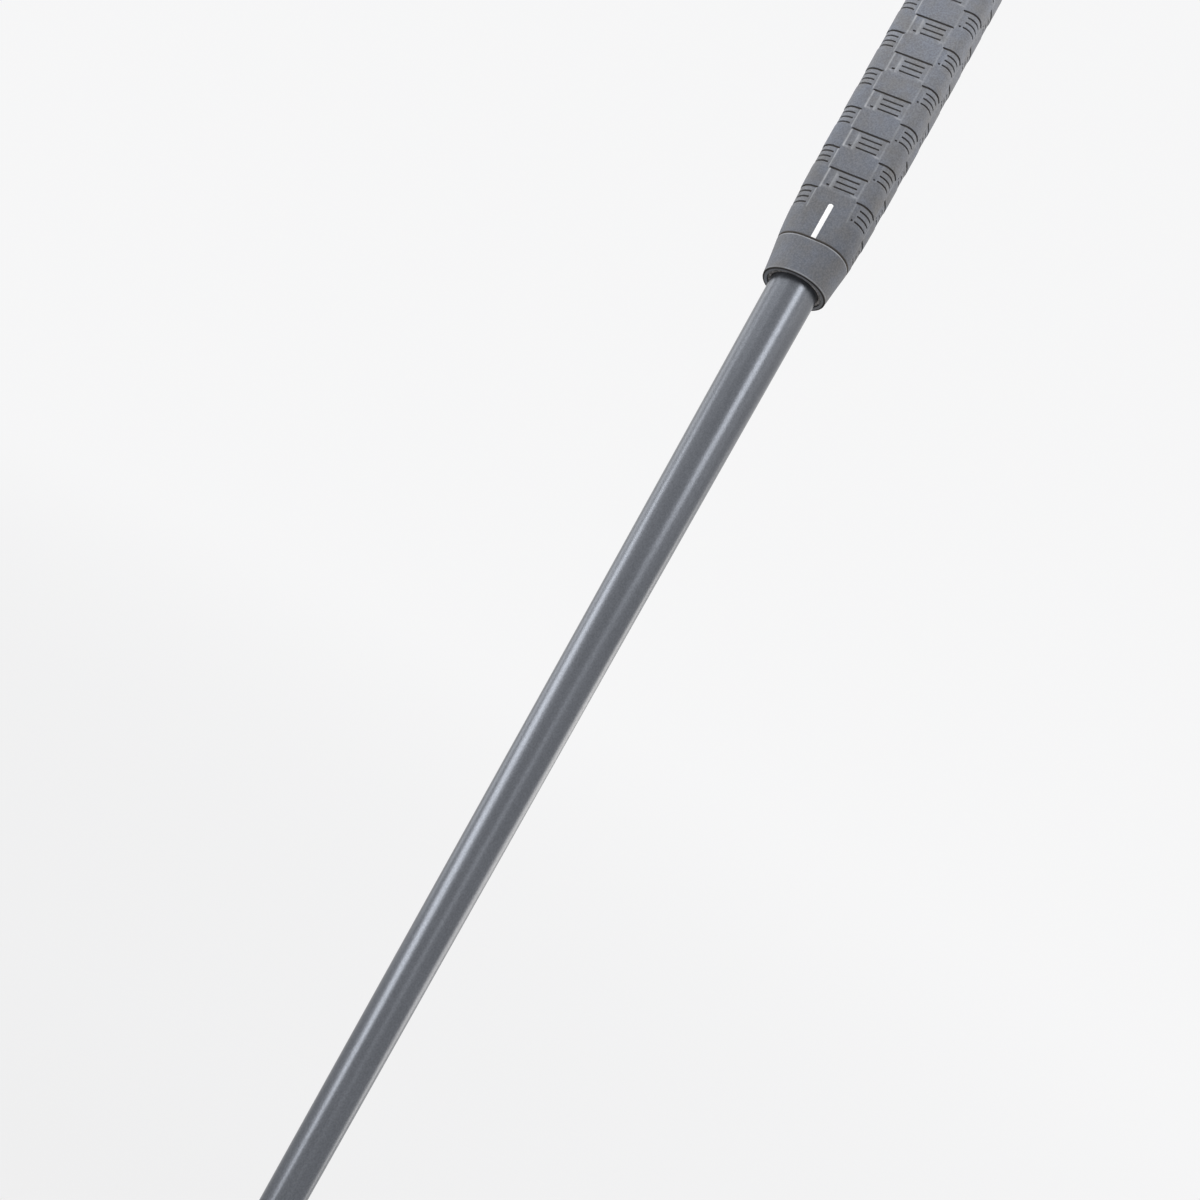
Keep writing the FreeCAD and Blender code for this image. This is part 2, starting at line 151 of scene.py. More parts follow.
# A sole weight: its flange, the radii inside the flange's rim where the groove's corners
# lie, and its thread between root and crest, with half a turn's foot as a share of the pitch.
FLANGE_HEIGHT = 3.2
FLANGE_EDGE = 0.4
RIM_GROOVE = (1.9, 2.1, 2.4, 2.6)
RIM_GROOVE_DEPTH = 0.25
THREAD_ROOT = 4.6
THREAD_CREST = 4.98
THREAD_FOOT = 0.42
THREAD_START = 0.7
THREAD_SPARE = 1.5
THREAD_STEPS = 28
KEY_CORNER = 4.0 / math.sqrt(3)
KEY_DEPTH = 3.0

# The photograph's view: focal length and sideways shift of the aim in pixels of the
# 1200 pixel frame, turns, distance from the axis and the aim's place under the mouth.
FOCAL = 1666.7
TILT, SWING, ROLL = (math.radians(angle) for angle in (14.0, 14.5, 29.41))
DISTANCE = 439.3
AIM_UNDER_MOUTH = 104.9
AIM_ASIDE = 17.1

# Directions along the shaft, out of the grip's flat front, and from the axis to the camera.
ALONG = Vector((math.cos(LIE), 0, math.sin(LIE)))
FRONT = Vector((-math.sin(LIE), 0, math.cos(LIE)))
TOWARDS = FRONT * math.cos(SWING) + Vector((0, -1, 0)) * math.sin(SWING)

# Long lights round the shaft: name, low and high end as turn from the camera's side and
# height along the axis, distance from the axis, width in metres and colour.
WHITE = (1, 1, 1)
WARM = (1.0, 0.94, 0.86)
LIGHTS = (
    ("left_light", (-47, 268), (-93, 715), 700, 0.22, WHITE),
    ("left_high_light", (-86, 750), (-86, 930), 700, 0.22, WHITE),
    ("left_rim_light", (-118, 420), (-118, 1150), 700, 0.3, WHITE),
    ("front_light", (26.5, 752), (26.5, 1150), 700, 0.27, WHITE),
    ("right_fill", (58, 720), (58, 1150), 700, 0.4, WHITE),
    ("low_light", (9, 330), (20, 600), 700, 0.2, WHITE),
    ("top_light", (-18, 1030), (-18, 1380), 520, 0.45, WHITE),
    ("side_light", (-64, 1000), (-64, 1500), 800, 0.8, WHITE),
    ("right_light", (110, 250), (133, 720), 800, 0.42, WARM),
    ("right_top_light", (90, 1100), (90, 1600), 800, 0.8, WARM),
)

# The floor's fades, each from a point, with its near and far distance and its least share,
# in metres: from lit paper to plain background, and a painted shade that darkens the
# plain background near its point.
FLOOR_SIZE = 12
FLOOR_DROP = 0.0002
PAPER_FADE = ((0, 0, 0), 0.05, 0.9, 0.45)
BACKGROUND_SHADE_FADE = ((0, 1.2, 0), 0.8, 3.0, 0.0)


# Settings

def length_setting(name, default, description):
    """A length in the settings."""
    return FloatProperty(name=name, default=default, unit="LENGTH", description=description)


def colour_setting(name, default, description):
    """A colour in the settings."""
    return FloatVectorProperty(name=name, default=default, description=description,
                               subtype="COLOR", size=3, min=0, max=1)


def light_setting(name, default, which):
    """A light's brightness in the settings."""
    return FloatProperty(name=name, default=default, min=0,
                         description=f"Brightness of the {which}, against white paper")


class GripSettings(PropertyGroup):
    front_column: length_setting(
        "Front column width", 0.0118, "Width of the column of panels on the flat front")
    band_pitch: length_setting(
        "Band pitch", 0.007, "Height of one row of panels, half of a panel's repeat")
    panel_height: length_setting("Ribbed panel height", 0.0064, "Height of a ribbed panel")
    first_band: length_setting(
        "First row height", 0.0136, "Height of the lowest row of panels over the mouth")
    groove_width: length_setting(
        "Groove width", 0.00056, "Width of a groove across a ribbed panel")
    groove_depth: length_setting(
        "Groove depth", 0.00042, "Depth of a groove across a ribbed panel")
    groove_pitch: length_setting(
        "Groove pitch", 0.00178, "Distance between neighbouring grooves")
    panel_sink: length_setting(
        "Panel sink", 0.00014, "How far a ribbed panel lies under its plain neighbours")
    rubber: colour_setting("Rubber", (0.160, 0.168, 0.189), "Colour of the sleeve's rubber")
    # Pale colour for worn edges and for painted highlights.
    rubber_worn_and_lit: colour_setting(
        "Worn and highlit rubber", (0.42, 0.43, 0.45), "Colour of the rubber where its edges are rubbed")
    # Dark colour for groove dirt and for painted shade.
    groove_dirt_and_shade: colour_setting("Groove dirt", (0.070, 0.063, 0.057), "Colour in the grooves")
    mark: colour_setting("Mark", (0.93, 0.93, 0.93), "Colour of the white mark")
    foam: colour_setting("Core foam", (0.185, 0.18, 0.178), "Colour of the foam core")


class ShaftSettings(PropertyGroup):
    paint: colour_setting("Paint", (0.122, 0.130, 0.146), "Colour of the shaft's paint")
    roughness: FloatProperty(
        name="Roughness", default=0.29, min=0, max=1, subtype="FACTOR",
        description="How soft the reflections along the shaft are")


class HeadSettings(PropertyGroup):
    steel: colour_setting(
        "Steel", (0.34, 0.34, 0.35), "Colour of the head's and the neck's satin steel")
    insert: colour_setting("Insert", (0.03, 0.03, 0.034), "Colour of the striking insert")
    milling_pitch: length_setting(
        "Milling pitch", 0.0009, "Distance between neighbouring milled lines of the insert")
    milling_depth: length_setting("Milling depth", 0.00015, "Depth of a milled line")
    thread_pitch: length_setting(
        "Thread pitch", 0.00125, "Rise of a weight's thread in one turn")


class StageSettings(PropertyGroup):
    background: colour_setting(
        "Background", (0.925, 0.925, 0.93), "Colour of the floor and of all behind the object")
    ambient: FloatProperty(
        name="Ambient", default=0.425, min=0, subtype="FACTOR",
        description="Strength of the even light from all round")
    left_light: light_setting("Left light", 4.8, "long light on the left")
    left_high_light: light_setting("Left high light", 1.44, "left light's faint upper end")
    left_rim_light: light_setting("Left rim light", 1.45, "light behind the left edge")
    front_light: light_setting("Front light", 5.2, "narrow light by the camera")
    right_fill: light_setting("Right fill", 0.35, "faint light on the right")
    low_light: light_setting("Low light", 0.9, "faint light under the camera")
    top_light: light_setting("Top light", 3.2, "light over the butt")
    side_light: light_setting("Side light", 1.74, "broad light on the upper left")
    right_light: light_setting("Right light", 2.4, "light behind the right edge")
    right_top_light: light_setting(
        "Right top light", 3.6, "broad light on the upper right")


# Modelling helpers

def nothing_selected():
    if bpy.context.object is not None and bpy.context.object.mode != "OBJECT":
        bpy.ops.object.mode_set(mode="OBJECT")
    bpy.ops.object.select_all(action="DESELECT")


def make_active(piece):
    nothing_selected()
    piece.select_set(True)
    bpy.context.view_layer.objects.active = piece


def start_edit(piece, mode="FACE"):
    make_active(piece)
    bpy.ops.object.mode_set(mode="EDIT")
    bpy.ops.mesh.select_mode(type=mode)
    bpy.ops.mesh.select_all(action="DESELECT")


def end_edit():
    bpy.ops.object.mode_set(mode="OBJECT")


def extrude(x, y, z):
    """Extrudes what is selected by an offset."""
    bpy.ops.mesh.extrude_region_move(TRANSFORM_OT_translate={"value": (x, y, z)})


def bevel(width, segments, affect="EDGES"):
    """Rounds the selected edges or corners."""
    bpy.ops.mesh.bevel(offset=width, segments=segments, profile=0.5, affect=affect)


def take_over_place():
    """Takes the active object's place, turn and scale over into its mesh."""
    bpy.ops.object.transform_apply(location=True, rotation=True, scale=True)


def pick(kind, test):
    """Selects the faces, edges or vertices of the piece being edited that pass a test."""
    bpy.ops.mesh.select_all(action="DESELECT")
    mesh = bpy.context.object.data
    form = bmesh.from_edit_mesh(mesh)
    for part in getattr(form, kind):
        if test(part):
            part.select_set(True)
    form.select_flush_mode()
    bmesh.update_edit_mesh(mesh)


def middle_of(edge):
    return (edge.verts[0].co + edge.verts[1].co) / 2


def cut_across(axis, places):
    """Cuts the piece being edited with planes across an axis."""
    normal = Vector((axis == 0, axis == 1, axis == 2))
    for place in places:
        bpy.ops.mesh.select_all(action="SELECT")
        bpy.ops.mesh.bisect(plane_co=normal * place, plane_no=normal)


def copy_of(piece, offset):
    """A copy with its own mesh, moved by an offset."""
    twin = piece.copy()
    twin.data = piece.data.copy()
    twin.data.transform(Matrix.Translation(offset))
    bpy.context.collection.objects.link(twin)
    return twin


def join(pieces, name):
    make_active(pieces[0])
    for piece in pieces[1:]:
        piece.select_set(True)
    if len(pieces) > 1:
        bpy.ops.object.join()
    joined = bpy.context.object
    joined.name = name
    joined.data.name = name
    return joined


def merge_points(distance):
    bpy.ops.mesh.select_all(action="SELECT")
    bpy.ops.mesh.remove_doubles(threshold=distance)


def face_outwards():
    bpy.ops.mesh.select_all(action="SELECT")
    bpy.ops.mesh.normals_make_consistent(inside=False)


def turned_body(name, outline, vertices):
    """A body of rings round Z, from radius and height pairs, still open at its ends."""
    (radius, height), rest = outline[0], outline[1:]
    nothing_selected()
    bpy.ops.mesh.primitive_circle_add(vertices=vertices, radius=radius, location=(0, 0, height))
    body = bpy.context.object
    body.name = name
    take_over_place()
    start_edit(body, "EDGE")
    bpy.ops.mesh.select_all(action="SELECT")
    for next_radius, next_height in rest:
        extrude(0, 0, next_height - height)
        factor = next_radius / radius
        bpy.ops.transform.resize(value=(factor, factor, 1),
                                 center_override=(0, 0, next_height))
        radius, height = next_radius, next_height
    pick("edges", lambda e: e.is_boundary)
    return body


def cut_away(piece, tool):
    """Takes a tool's shape out of a piece and deletes the tool."""
    make_active(piece)
    cut = piece.modifiers.new("cut", "BOOLEAN")
    cut.operation = "DIFFERENCE"
    cut.solver = "EXACT"
    cut.object = tool
    bpy.ops.object.modifier_apply(modifier=cut.name)
    bpy.data.objects.remove(tool)


def smooth(piece, angle):
    make_active(piece)
    bpy.ops.object.shade_smooth_by_angle(angle=math.radians(angle))


def to_world(x, y, z):
    """A point of the leaning grip or shaft: x away from the flat front, z along the axis."""
    lean = math.pi / 2 - LIE
    return MM * (GROUND_POINT + Vector((x * math.cos(lean) + z * math.sin(lean), y,
                                        z * math.cos(lean) - x * math.sin(lean))))


def station_curve(heights, values):
    """The second derivatives of a natural cubic spline through the stations."""
    count = len(heights)
    curve = [0.0] * count
    helper = [0.0] * count
    for i in range(1, count - 1):
        share = (heights[i] - heights[i - 1]) / (heights[i + 1] - heights[i - 1])
        pivot = share * curve[i - 1] + 2
        curve[i] = (share - 1) / pivot
        step = ((values[i + 1] - values[i]) / (heights[i + 1] - heights[i])
                - (values[i] - values[i - 1]) / (heights[i] - heights[i - 1]))
        helper[i] = (6 * step / (heights[i + 1] - heights[i - 1]) - share * helper[i - 1]) / pivot
    for i in range(count - 2, -1, -1):
        curve[i] = curve[i] * curve[i + 1] + helper[i]
    return curve


STATION_CURVES = [station_curve(STATION_HEIGHTS, [station[k] for station in GRIP_STATIONS])
                  for k in (1, 2, 3)]


def section_at(height):
    """Half width, corner radius and back distance of the grip at a height over the mouth."""
    height = min(max(height, STATION_HEIGHTS[0]), STATION_HEIGHTS[-1])
    i = 1
    while STATION_HEIGHTS[i] < height:
        i += 1
    low, high = GRIP_STATIONS[i - 1], GRIP_STATIONS[i]
    span = high[0] - low[0]
    a = (high[0] - height) / span
    b = 1 - a
    found = []
    for k, curve in enumerate(STATION_CURVES, 1):
        bend = ((a ** 3 - a) * curve[i - 1] + (b ** 3 - b) * curve[i]) * span * span / 6
        found.append(a * low[k] + b * high[k] + bend)
    return found


def half_lengths(section):
    """Lengths of half a section's front flat, corner, flank and back arc."""
    half_width, corner, back = section
    depth = back - half_width + GRIP_FRONT - corner
    spread_sine, spread_cosine = math.sin(FLANK_SPREAD), math.cos(FLANK_SPREAD)
    flat = (half_width - corner - depth * spread_sine) / spread_cosine
    return (flat, corner * (math.pi / 2 - FLANK_SPREAD),
            depth * spread_cosine - flat * spread_sine,
            half_width * (math.pi / 2 + FLANK_SPREAD))


def around(section, share):
    """Point and outward normal on a section; share 0 is the front's middle, 0.5 the back."""
    half_width, corner, back = section
    side = 1.0 if share >= 0 else -1.0
    lengths = half_lengths(section)
    front_middle = Vector((corner - GRIP_FRONT, side * lengths[0]))
    walk = abs(share) * 2 * sum(lengths)
    if walk <= lengths[0]:
        return Vector((-GRIP_FRONT, side * walk)), Vector((-1.0, 0.0))
    walk -= lengths[0]
    if walk <= lengths[1]:
        angle = walk / corner
        normal = Vector((-math.cos(angle), side * math.sin(angle)))
        return front_middle + corner * normal, normal
    walk -= lengths[1]
    if walk <= lengths[2]:
        normal = Vector((-math.sin(FLANK_SPREAD), side * math.cos(FLANK_SPREAD)))
        along = Vector((math.cos(FLANK_SPREAD), side * math.sin(FLANK_SPREAD)))
        return front_middle + corner * normal + walk * along, normal
    walk = min(walk - lengths[2], lengths[3])
    angle = walk / half_width - FLANK_SPREAD
    normal = Vector((math.sin(angle), side * math.cos(angle)))
    return Vector((back - half_width, 0.0)) + half_width * normal, normal


def girth(section):
    return 2 * sum(half_lengths(section))


def ease(value, low, high):
    """0 at or before low and 1 from high on, with a smooth step between."""
    share = min(max((value - low) / (high - low), 0.0), 1.0)
    return share * share * (3 - 2 * share)


def wrap_on_grip(piece, front_width):
    """Wraps a flat sheet, x round the grip, y up from the mouth, z outwards, on the grip."""
    sections = {}
    for vertex in piece.data.vertices:
        x, y, z = vertex.co
        key = round(y, 4)
        if key not in sections:
            sections[key] = section_at(key)
        section = sections[key]
        whole = girth(section)
        column = x / COLUMN_WIDTH
        if column > COLUMNS - 0.5:
            column -= COLUMNS
        if abs(column) <= 0.5:
            walk = column * front_width
        elif column > 0:
            walk = front_width / 2 + (column - 0.5) / (COLUMNS - 1) * (whole - front_width)
        else:
            walk = -front_width / 2 + (column + 0.5) / (COLUMNS - 1) * (whole - front_width)
        share = walk / whole
        if share > 0.5:
            share -= 1
        place, normal = around(section, share)
        place = place + normal * z
        drop = ROW_DROP * ease(abs(column), 0.47, 0.53) * ease(y, BAND_TOP + 1, BAND_TOP + 3)
        drop *= ease(y, SLEEVE_TOP, SLEEVE_TOP - 6)
        vertex.co = to_world(place.x, place.y, MOUTH + y - drop)
    make_active(piece)
    bpy.ops.object.mode_set(mode="EDIT")
    merge_points(0.00002)
    face_outwards()
    end_edit()


# Material helpers

def new_material(name):
    """A new material and its shader."""
    material = bpy.data.materials.new(name)
    material.use_nodes = True
    nodes = material.node_tree.nodes
    shader = next(node for node in nodes if node.type == "BSDF_PRINCIPLED")
    return material, shader


def add_node(tree, kind, **settings):
    node = tree.nodes.new(kind)
    for key, value in settings.items():
        setattr(node, key, value)
    return node


def link(tree, source, target):
    tree.links.new(source, target)


def group_tree(name, inputs, outputs):
    """A node group of plain values, with its input and output nodes."""
    tree = bpy.data.node_groups.new(name, "ShaderNodeTree")
    for label, default in inputs:
        socket = tree.interface.new_socket(label, in_out="INPUT", socket_type="NodeSocketFloat")
        socket.default_value = default
    for label in outputs:
        tree.interface.new_socket(label, in_out="OUTPUT", socket_type="NodeSocketFloat")
    return tree, tree.nodes.new("NodeGroupInput"), tree.nodes.new("NodeGroupOutput")


def place_group(tree, group, **values):
    node = tree.nodes.new("ShaderNodeGroup")
    node.node_tree = group
    for label, value in values.items():
        node.inputs[label.replace("_", " ")].default_value = value
    return node


def noise_group(name, layers):
    """A group of noises in object coordinates, made once and then found by its name.

    A layer is its output, its input for the pattern's size with a default in metres, the
    noise's detail and roughness, and how its coordinates are stretched along each axis.
    """
    found = bpy.data.node_groups.get(name)
    if found:
        return found
    tree, given, out = group_tree(name, [layer[1:3] for layer in layers],
                                  [layer[0] for layer in layers])
    place = add_node(tree, "ShaderNodeTexCoord")
    for label, size, _, detail, rough, stretch in layers:
        inverse = add_node(tree, "ShaderNodeMath", operation="DIVIDE")
        inverse.inputs[0].default_value = 1.0
        link(tree, given.outputs[size], inverse.inputs[1])
        stretched = add_node(tree, "ShaderNodeVectorMath", operation="MULTIPLY")
        stretched.inputs[1].default_value = stretch
        link(tree, place.outputs["Object"], stretched.inputs[0])
        noise = add_node(tree, "ShaderNodeTexNoise")
        noise.inputs["Detail"].default_value = detail
        noise.inputs["Roughness"].default_value = rough
        link(tree, stretched.outputs[0], noise.inputs["Vector"])
        link(tree, inverse.outputs[0], noise.inputs["Scale"])
        link(tree, noise.outputs["Fac"], out.inputs[label])
    return tree


def grain_group():
    """Fine moulded grain: a height and a mottled tone."""
    return noise_group("moulded grain", (
        ("Height", "Grain size", 0.0004, 2.0, 0.55, (1, 1, 1)),
        ("Mottle", "Mottle size", 0.012, 4.0, 0.6, (1, 1, 1))))


def brushing_group():
    """Fine parallel brushing, clouded by use."""
    return noise_group("fine brushing", (
        ("Height", "Line size", 0.0006, 3.0, 0.6, (0.04, 1, 1)),
        ("Cloud", "Cloud size", 0.02, 5.0, 0.6, (1, 1, 1))))


def tone_mix(tree, low, high, factor):
    """A colour between two plain ones, by a factor."""
    mix = add_node(tree, "ShaderNodeMix", data_type="RGBA")
    mix.inputs["A"].default_value = (*low, 1)
    mix.inputs["B"].default_value = (*high, 1)
    link(tree, factor, mix.inputs["Factor"])
    return mix.outputs["Result"]


def covered(tree, base, colour, factor):
    """A base with a plain colour laid over it, by a factor."""
    mix = add_node(tree, "ShaderNodeMix", data_type="RGBA")
    mix.inputs["B"].default_value = (*colour, 1)
    link(tree, base, mix.inputs["A"])
    link(tree, factor, mix.inputs["Factor"])
    return mix.outputs["Result"]


def reckon(tree, operation, first, second):
    """Two values brought together by a sum, a product or the like."""
    node = add_node(tree, "ShaderNodeMath", operation=operation)
    link(tree, first, node.inputs[0])
    link(tree, second, node.inputs[1])
    return node.outputs[0]


def spread(tree, source, low, high, least=0.0, most=1.0, **settings):
    """Maps a value between two limits to a range."""
    ramp = add_node(tree, "ShaderNodeMapRange", **settings)
    ramp.inputs["From Min"].default_value = low
    ramp.inputs["From Max"].default_value = high
    ramp.inputs["To Min"].default_value = least
    ramp.inputs["To Max"].default_value = most
    link(tree, source, ramp.inputs["Value"])
    return ramp.outputs["Result"]


def scaled(colour, factor):
    return tuple(min(1.0, channel * factor) for channel in colour)


def tint(colour, factor, warmth):
    """A colour made brighter or darker, and a little warmer or cooler."""
    red, green, blue = scaled(colour, factor)
    return red + warmth / 2, green, blue - warmth


def multiplied(tree, first, second):
    """The product of two colours."""
    product = add_node(tree, "ShaderNodeMix", data_type="RGBA", blend_type="MULTIPLY")
    product.inputs["Factor"].default_value = 1.0
    link(tree, first, product.inputs["A"])
    link(tree, second, product.inputs["B"])
    return product.outputs["Result"]


def speckled(tree, colour, height, strength):
    """A colour that varies from grain to grain by a share of its brightness."""
    tone = tone_mix(tree, (1 - strength,) * 3, (1 + strength,) * 3,
                    spread(tree, height, 0.35, 0.65))
    return multiplied(tree, colour, tone)


def give_relief(tree, shader, height, strength, distance):
    """Bumps the shader's surface by a height."""
    bump = add_node(tree, "ShaderNodeBump")
    bump.inputs["Strength"].default_value = strength
    bump.inputs["Distance"].default_value = distance
    link(tree, height, bump.inputs["Height"])
    link(tree, bump.outputs["Normal"], shader.inputs["Normal"])


def kept_value(tree, name):
    """A value kept on the piece's points."""
    return add_node(tree, "ShaderNodeAttribute", attribute_name=name).outputs["Fac"]


def rubber_material(name, colour, worn_and_lit_colour, dirt_and_shade):
    """Matte moulded rubber: darker in its grooves and creases, by dirt and painted shade; paler
    on its edges, by wear and painted highlights; darker towards the mouth, by painted shade.
    """
    material, shader = new_material(name)
    tree = material.node_tree
    shader.inputs["Specular IOR Level"].default_value = 0.35
    grain = place_group(tree, grain_group(), Grain_size=0.0005, Mottle_size=0.006)
    height, mottle = grain.outputs["Height"], grain.outputs["Mottle"]
    clouded = tone_mix(tree, tint(colour, 0.97, 0.011), tint(colour, 1.03, -0.011),
                       spread(tree, mottle, 0.35, 0.65))
    # Painted shade: the rubber is made darker towards the mouth, where the light falls off.
    falloff_shade = tone_mix(tree, (0.76,) * 3, (1.03,) * 3, kept_value(tree, "handled"))
    base = multiplied(tree, speckled(tree, clouded, height, 0.17), falloff_shade)
    # Worn edges and painted highlights: a pale colour is laid on where the sheet keeps them.
    worn_and_lit_share = reckon(tree, "MULTIPLY", kept_value(tree, "rubbed"), spread(tree, mottle, 0.2, 0.6))
    grooved = kept_value(tree, "grooved")
    rubbed = covered(tree, base, worn_and_lit_colour, worn_and_lit_share)
    # A dark colour is laid on where dirt and painted shade are kept.
    link(tree, covered(tree, rubbed, dirt_and_shade, grooved), shader.inputs["Base Color"])
    link(tree, spread(tree, grooved, 0.0, 1.0, 0.62, 0.95), shader.inputs["Roughness"])
    give_relief(tree, shader, height, 0.25, 0.0001)
    return material


def plain_material(name, colour, roughness, metallic=0.0, variation=0.08, grain_size=0.0006,
                   bump_strength=0.1, speckle=0.0):
    """A finish with a mottled tone and a fine grain."""
    material, shader = new_material(name)
    tree = material.node_tree
    shader.inputs["Metallic"].default_value = metallic
    grain = place_group(tree, grain_group(), Grain_size=grain_size, Mottle_size=0.02)
    height, mottle = grain.outputs["Height"], grain.outputs["Mottle"]
    tone = tone_mix(tree, scaled(colour, 1 - variation), scaled(colour, 1 + variation),
                    spread(tree, mottle, 0.3, 0.7))
    if speckle:
        tone = speckled(tree, tone, height, speckle)
    link(tree, tone, shader.inputs["Base Color"])
    link(tree, spread(tree, mottle, 0.0, 1.0, roughness * 0.88, min(1.0, roughness * 1.12)),
         shader.inputs["Roughness"])
    give_relief(tree, shader, height, bump_strength, 0.00005)
    return material


def brushed_material(name, colour, roughness, line_size):
    """Satin metal with fine brushing, clouded by handling."""
    material, shader = new_material(name)
    tree = material.node_tree
    shader.inputs["Metallic"].default_value = 1.0
    brushing = place_group(tree, brushing_group(), Line_size=line_size, Cloud_size=0.018)
    height, cloud = brushing.outputs["Height"], brushing.outputs["Cloud"]
    tone = tone_mix(tree, scaled(colour, 0.9), scaled(colour, 1.08),
                    spread(tree, cloud, 0.3, 0.7))
    link(tree, tone, shader.inputs["Base Color"])
    link(tree, spread(tree, reckon(tree, "ADD", cloud, height), 0.6, 1.4,
                      roughness * 0.75, min(1.0, roughness * 1.3)), shader.inputs["Roughness"])
    give_relief(tree, shader, height, 0.12, 0.00004)
    return material


def finish_piece(piece, material, slot, *nodes):
    """Gives a finished piece its material, its body and the frame nodes it stands for."""
    piece.data.materials.clear()
    piece.data.materials.append(material)
    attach(piece, "club")
    if nodes:
        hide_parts(*nodes)


def refinish(node, material):
    """Gives a frame node's own mesh a new material."""
    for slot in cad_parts[node].material_slots:
        slot.material = material


# Grip

def column_lines(panel):
    """Where a column of panels is cut from side to side, as shares of its width."""
    rib_start, rib_end, line, dash_start, dash_end = panel
    ribs = [rib_start + (rib_end - rib_start) * k / 5 for k in range(6)]
    return [BORDER, PANEL_WALL, *ribs, line, dash_start, dash_end,
            1 - PANEL_WALL, 1 - BORDER]


def groove_edges(grip):
    """Lower and upper edges of the grooves of one panel, in mm from its row's bottom."""
    top = grip.band_pitch / MM
    edges = []
    for k in range(4):
        high = top - k * grip.groove_pitch / MM
        edges.append((high - grip.groove_width / MM, high))
    return edges


def panel_rows(grip):
    return math.floor(((SLEEVE_TOP - PLAIN_TOP) * MM - grip.first_band) / grip.band_pitch)


def flat_tile(grip, panel):
    """One column wide and one row high, cut where the grooves and borders will be."""
    height = grip.band_pitch / MM
    nothing_selected()
    bpy.ops.mesh.primitive_plane_add(size=1, location=(0, height / 2, 0))
    tile = bpy.context.object
    tile.scale = (COLUMN_WIDTH, height, 1)
    take_over_place()
    start_edit(tile)
    cut_across(0, [(share - 0.5) * COLUMN_WIDTH for share in column_lines(panel)])
    rows = [height - grip.panel_height / MM]
    for low, high in groove_edges(grip):
        rows += [low, high]
    cut_across(1, [row for row in rows if 0 < row < height - 0.001])
    end_edit()
    return tile


def ribbed_tile(grip, panel):
    """A sunk panel with one full groove over three shorter ones and a dash by the lowest."""
    tile = flat_tile(grip, panel)
    bottom = (grip.band_pitch - grip.panel_height) / MM
    edges = groove_edges(grip)
    rib_start, rib_end, _, dash_start, dash_end = panel
    start_edit(tile, "VERT")
    pick("verts", lambda v: abs(v.co.x) < 0.45 * COLUMN_WIDTH
         and bottom + 0.01 < v.co.y < edges[0][0] + 0.01)
    bpy.ops.transform.translate(value=(0, 0, -grip.panel_sink / MM))
    bpy.ops.mesh.select_mode(type="FACE")
    spans = [(0.0, 1.0, edges[0])] + [(rib_start, rib_end, edge) for edge in edges[1:]]
    spans.append((dash_start, dash_end, edges[-1]))
    for left, right, (low, high) in spans:
        pick("faces", lambda f: low < f.calc_center_median().y < high
             and left < f.calc_center_median().x / COLUMN_WIDTH + 0.5 < right)
        bpy.ops.mesh.inset(thickness=0.1, depth=-grip.groove_depth / MM)
    end_edit()
    return tile


def lay_panels(grip):
    """The whole flat sheet of ribbed and plain tiles over the plain strip by the band."""
    sources = {}
    for panel in (FRONT_PANEL, FLANK_PANEL):
        sources[panel] = (flat_tile(grip, panel), ribbed_tile(grip, panel))
    pitch = grip.band_pitch / MM
    first = grip.first_band / MM
    rows = panel_rows(grip)
    tiles = []
    for row in range(rows):
        for column in range(COLUMNS):
            is_ribbed = (row + column) % 2 == 0 and not (row == 0 and column == 0)
            source = sources[FRONT_PANEL if column == 0 else FLANK_PANEL][is_ribbed]
            tiles.append(copy_of(source, (column * COLUMN_WIDTH, first + row * pitch, 0)))
    for pair in sources.values():
        for source in pair:
            bpy.data.objects.remove(source)
    sheet = join(tiles, "grip_sleeve")
    start_edit(sheet, "EDGE")
    merge_points(0.01)
    pick("edges", lambda e: abs(middle_of(e).y - first) < 0.001
         and abs(e.verts[0].co.y - e.verts[1].co.y) < 0.001)
    extrude(0, BAND_TOP - first, 0)
    last = first + rows * pitch
    pick("edges", lambda e: abs(middle_of(e).y - last) < 0.001
         and abs(e.verts[0].co.y - e.verts[1].co.y) < 0.001)
    extrude(0, SLEEVE_TOP - last, 0)
    end_edit()
    return sheet


def close_sleeve(sheet):
    """Turns the sheet's lower and upper edges in and joins them by an inner wall."""
    start_edit(sheet, "EDGE")
    pick("edges", lambda e: max(v.co.y for v in e.verts) < BAND_TOP + 0.001)
    bpy.ops.transform.translate(value=(0, LIP_LIFT, 0))
    for rise, drop in LIP_STEPS:
        extrude(0, rise, drop)
    for _ in range(INNER_WALL_STEPS):
        extrude(0, (SLEEVE_TOP - BAND_TOP) / INNER_WALL_STEPS, 0)
    pick("edges", lambda e: min(v.co.y for v in e.verts) > SLEEVE_TOP - 0.001
         and max(v.co.z for v in e.verts) > -0.001)
    extrude(0, 0, -SKIN)
    merge_points(0.01)
    end_edit()


def keep_values(piece, name, values):
    layer = piece.data.attributes.new(name, "FLOAT", "POINT")
    layer.data.foreach_set("value", values)


def store_painted_falloff(piece):
    """Keeps a painted shade for each height of the flat sheet: darker towards the mouth, where
    the light falls off.
    """
    keep_values(piece, "handled", [ease(v.co.y, 12.0, 87.0) for v in piece.data.vertices])


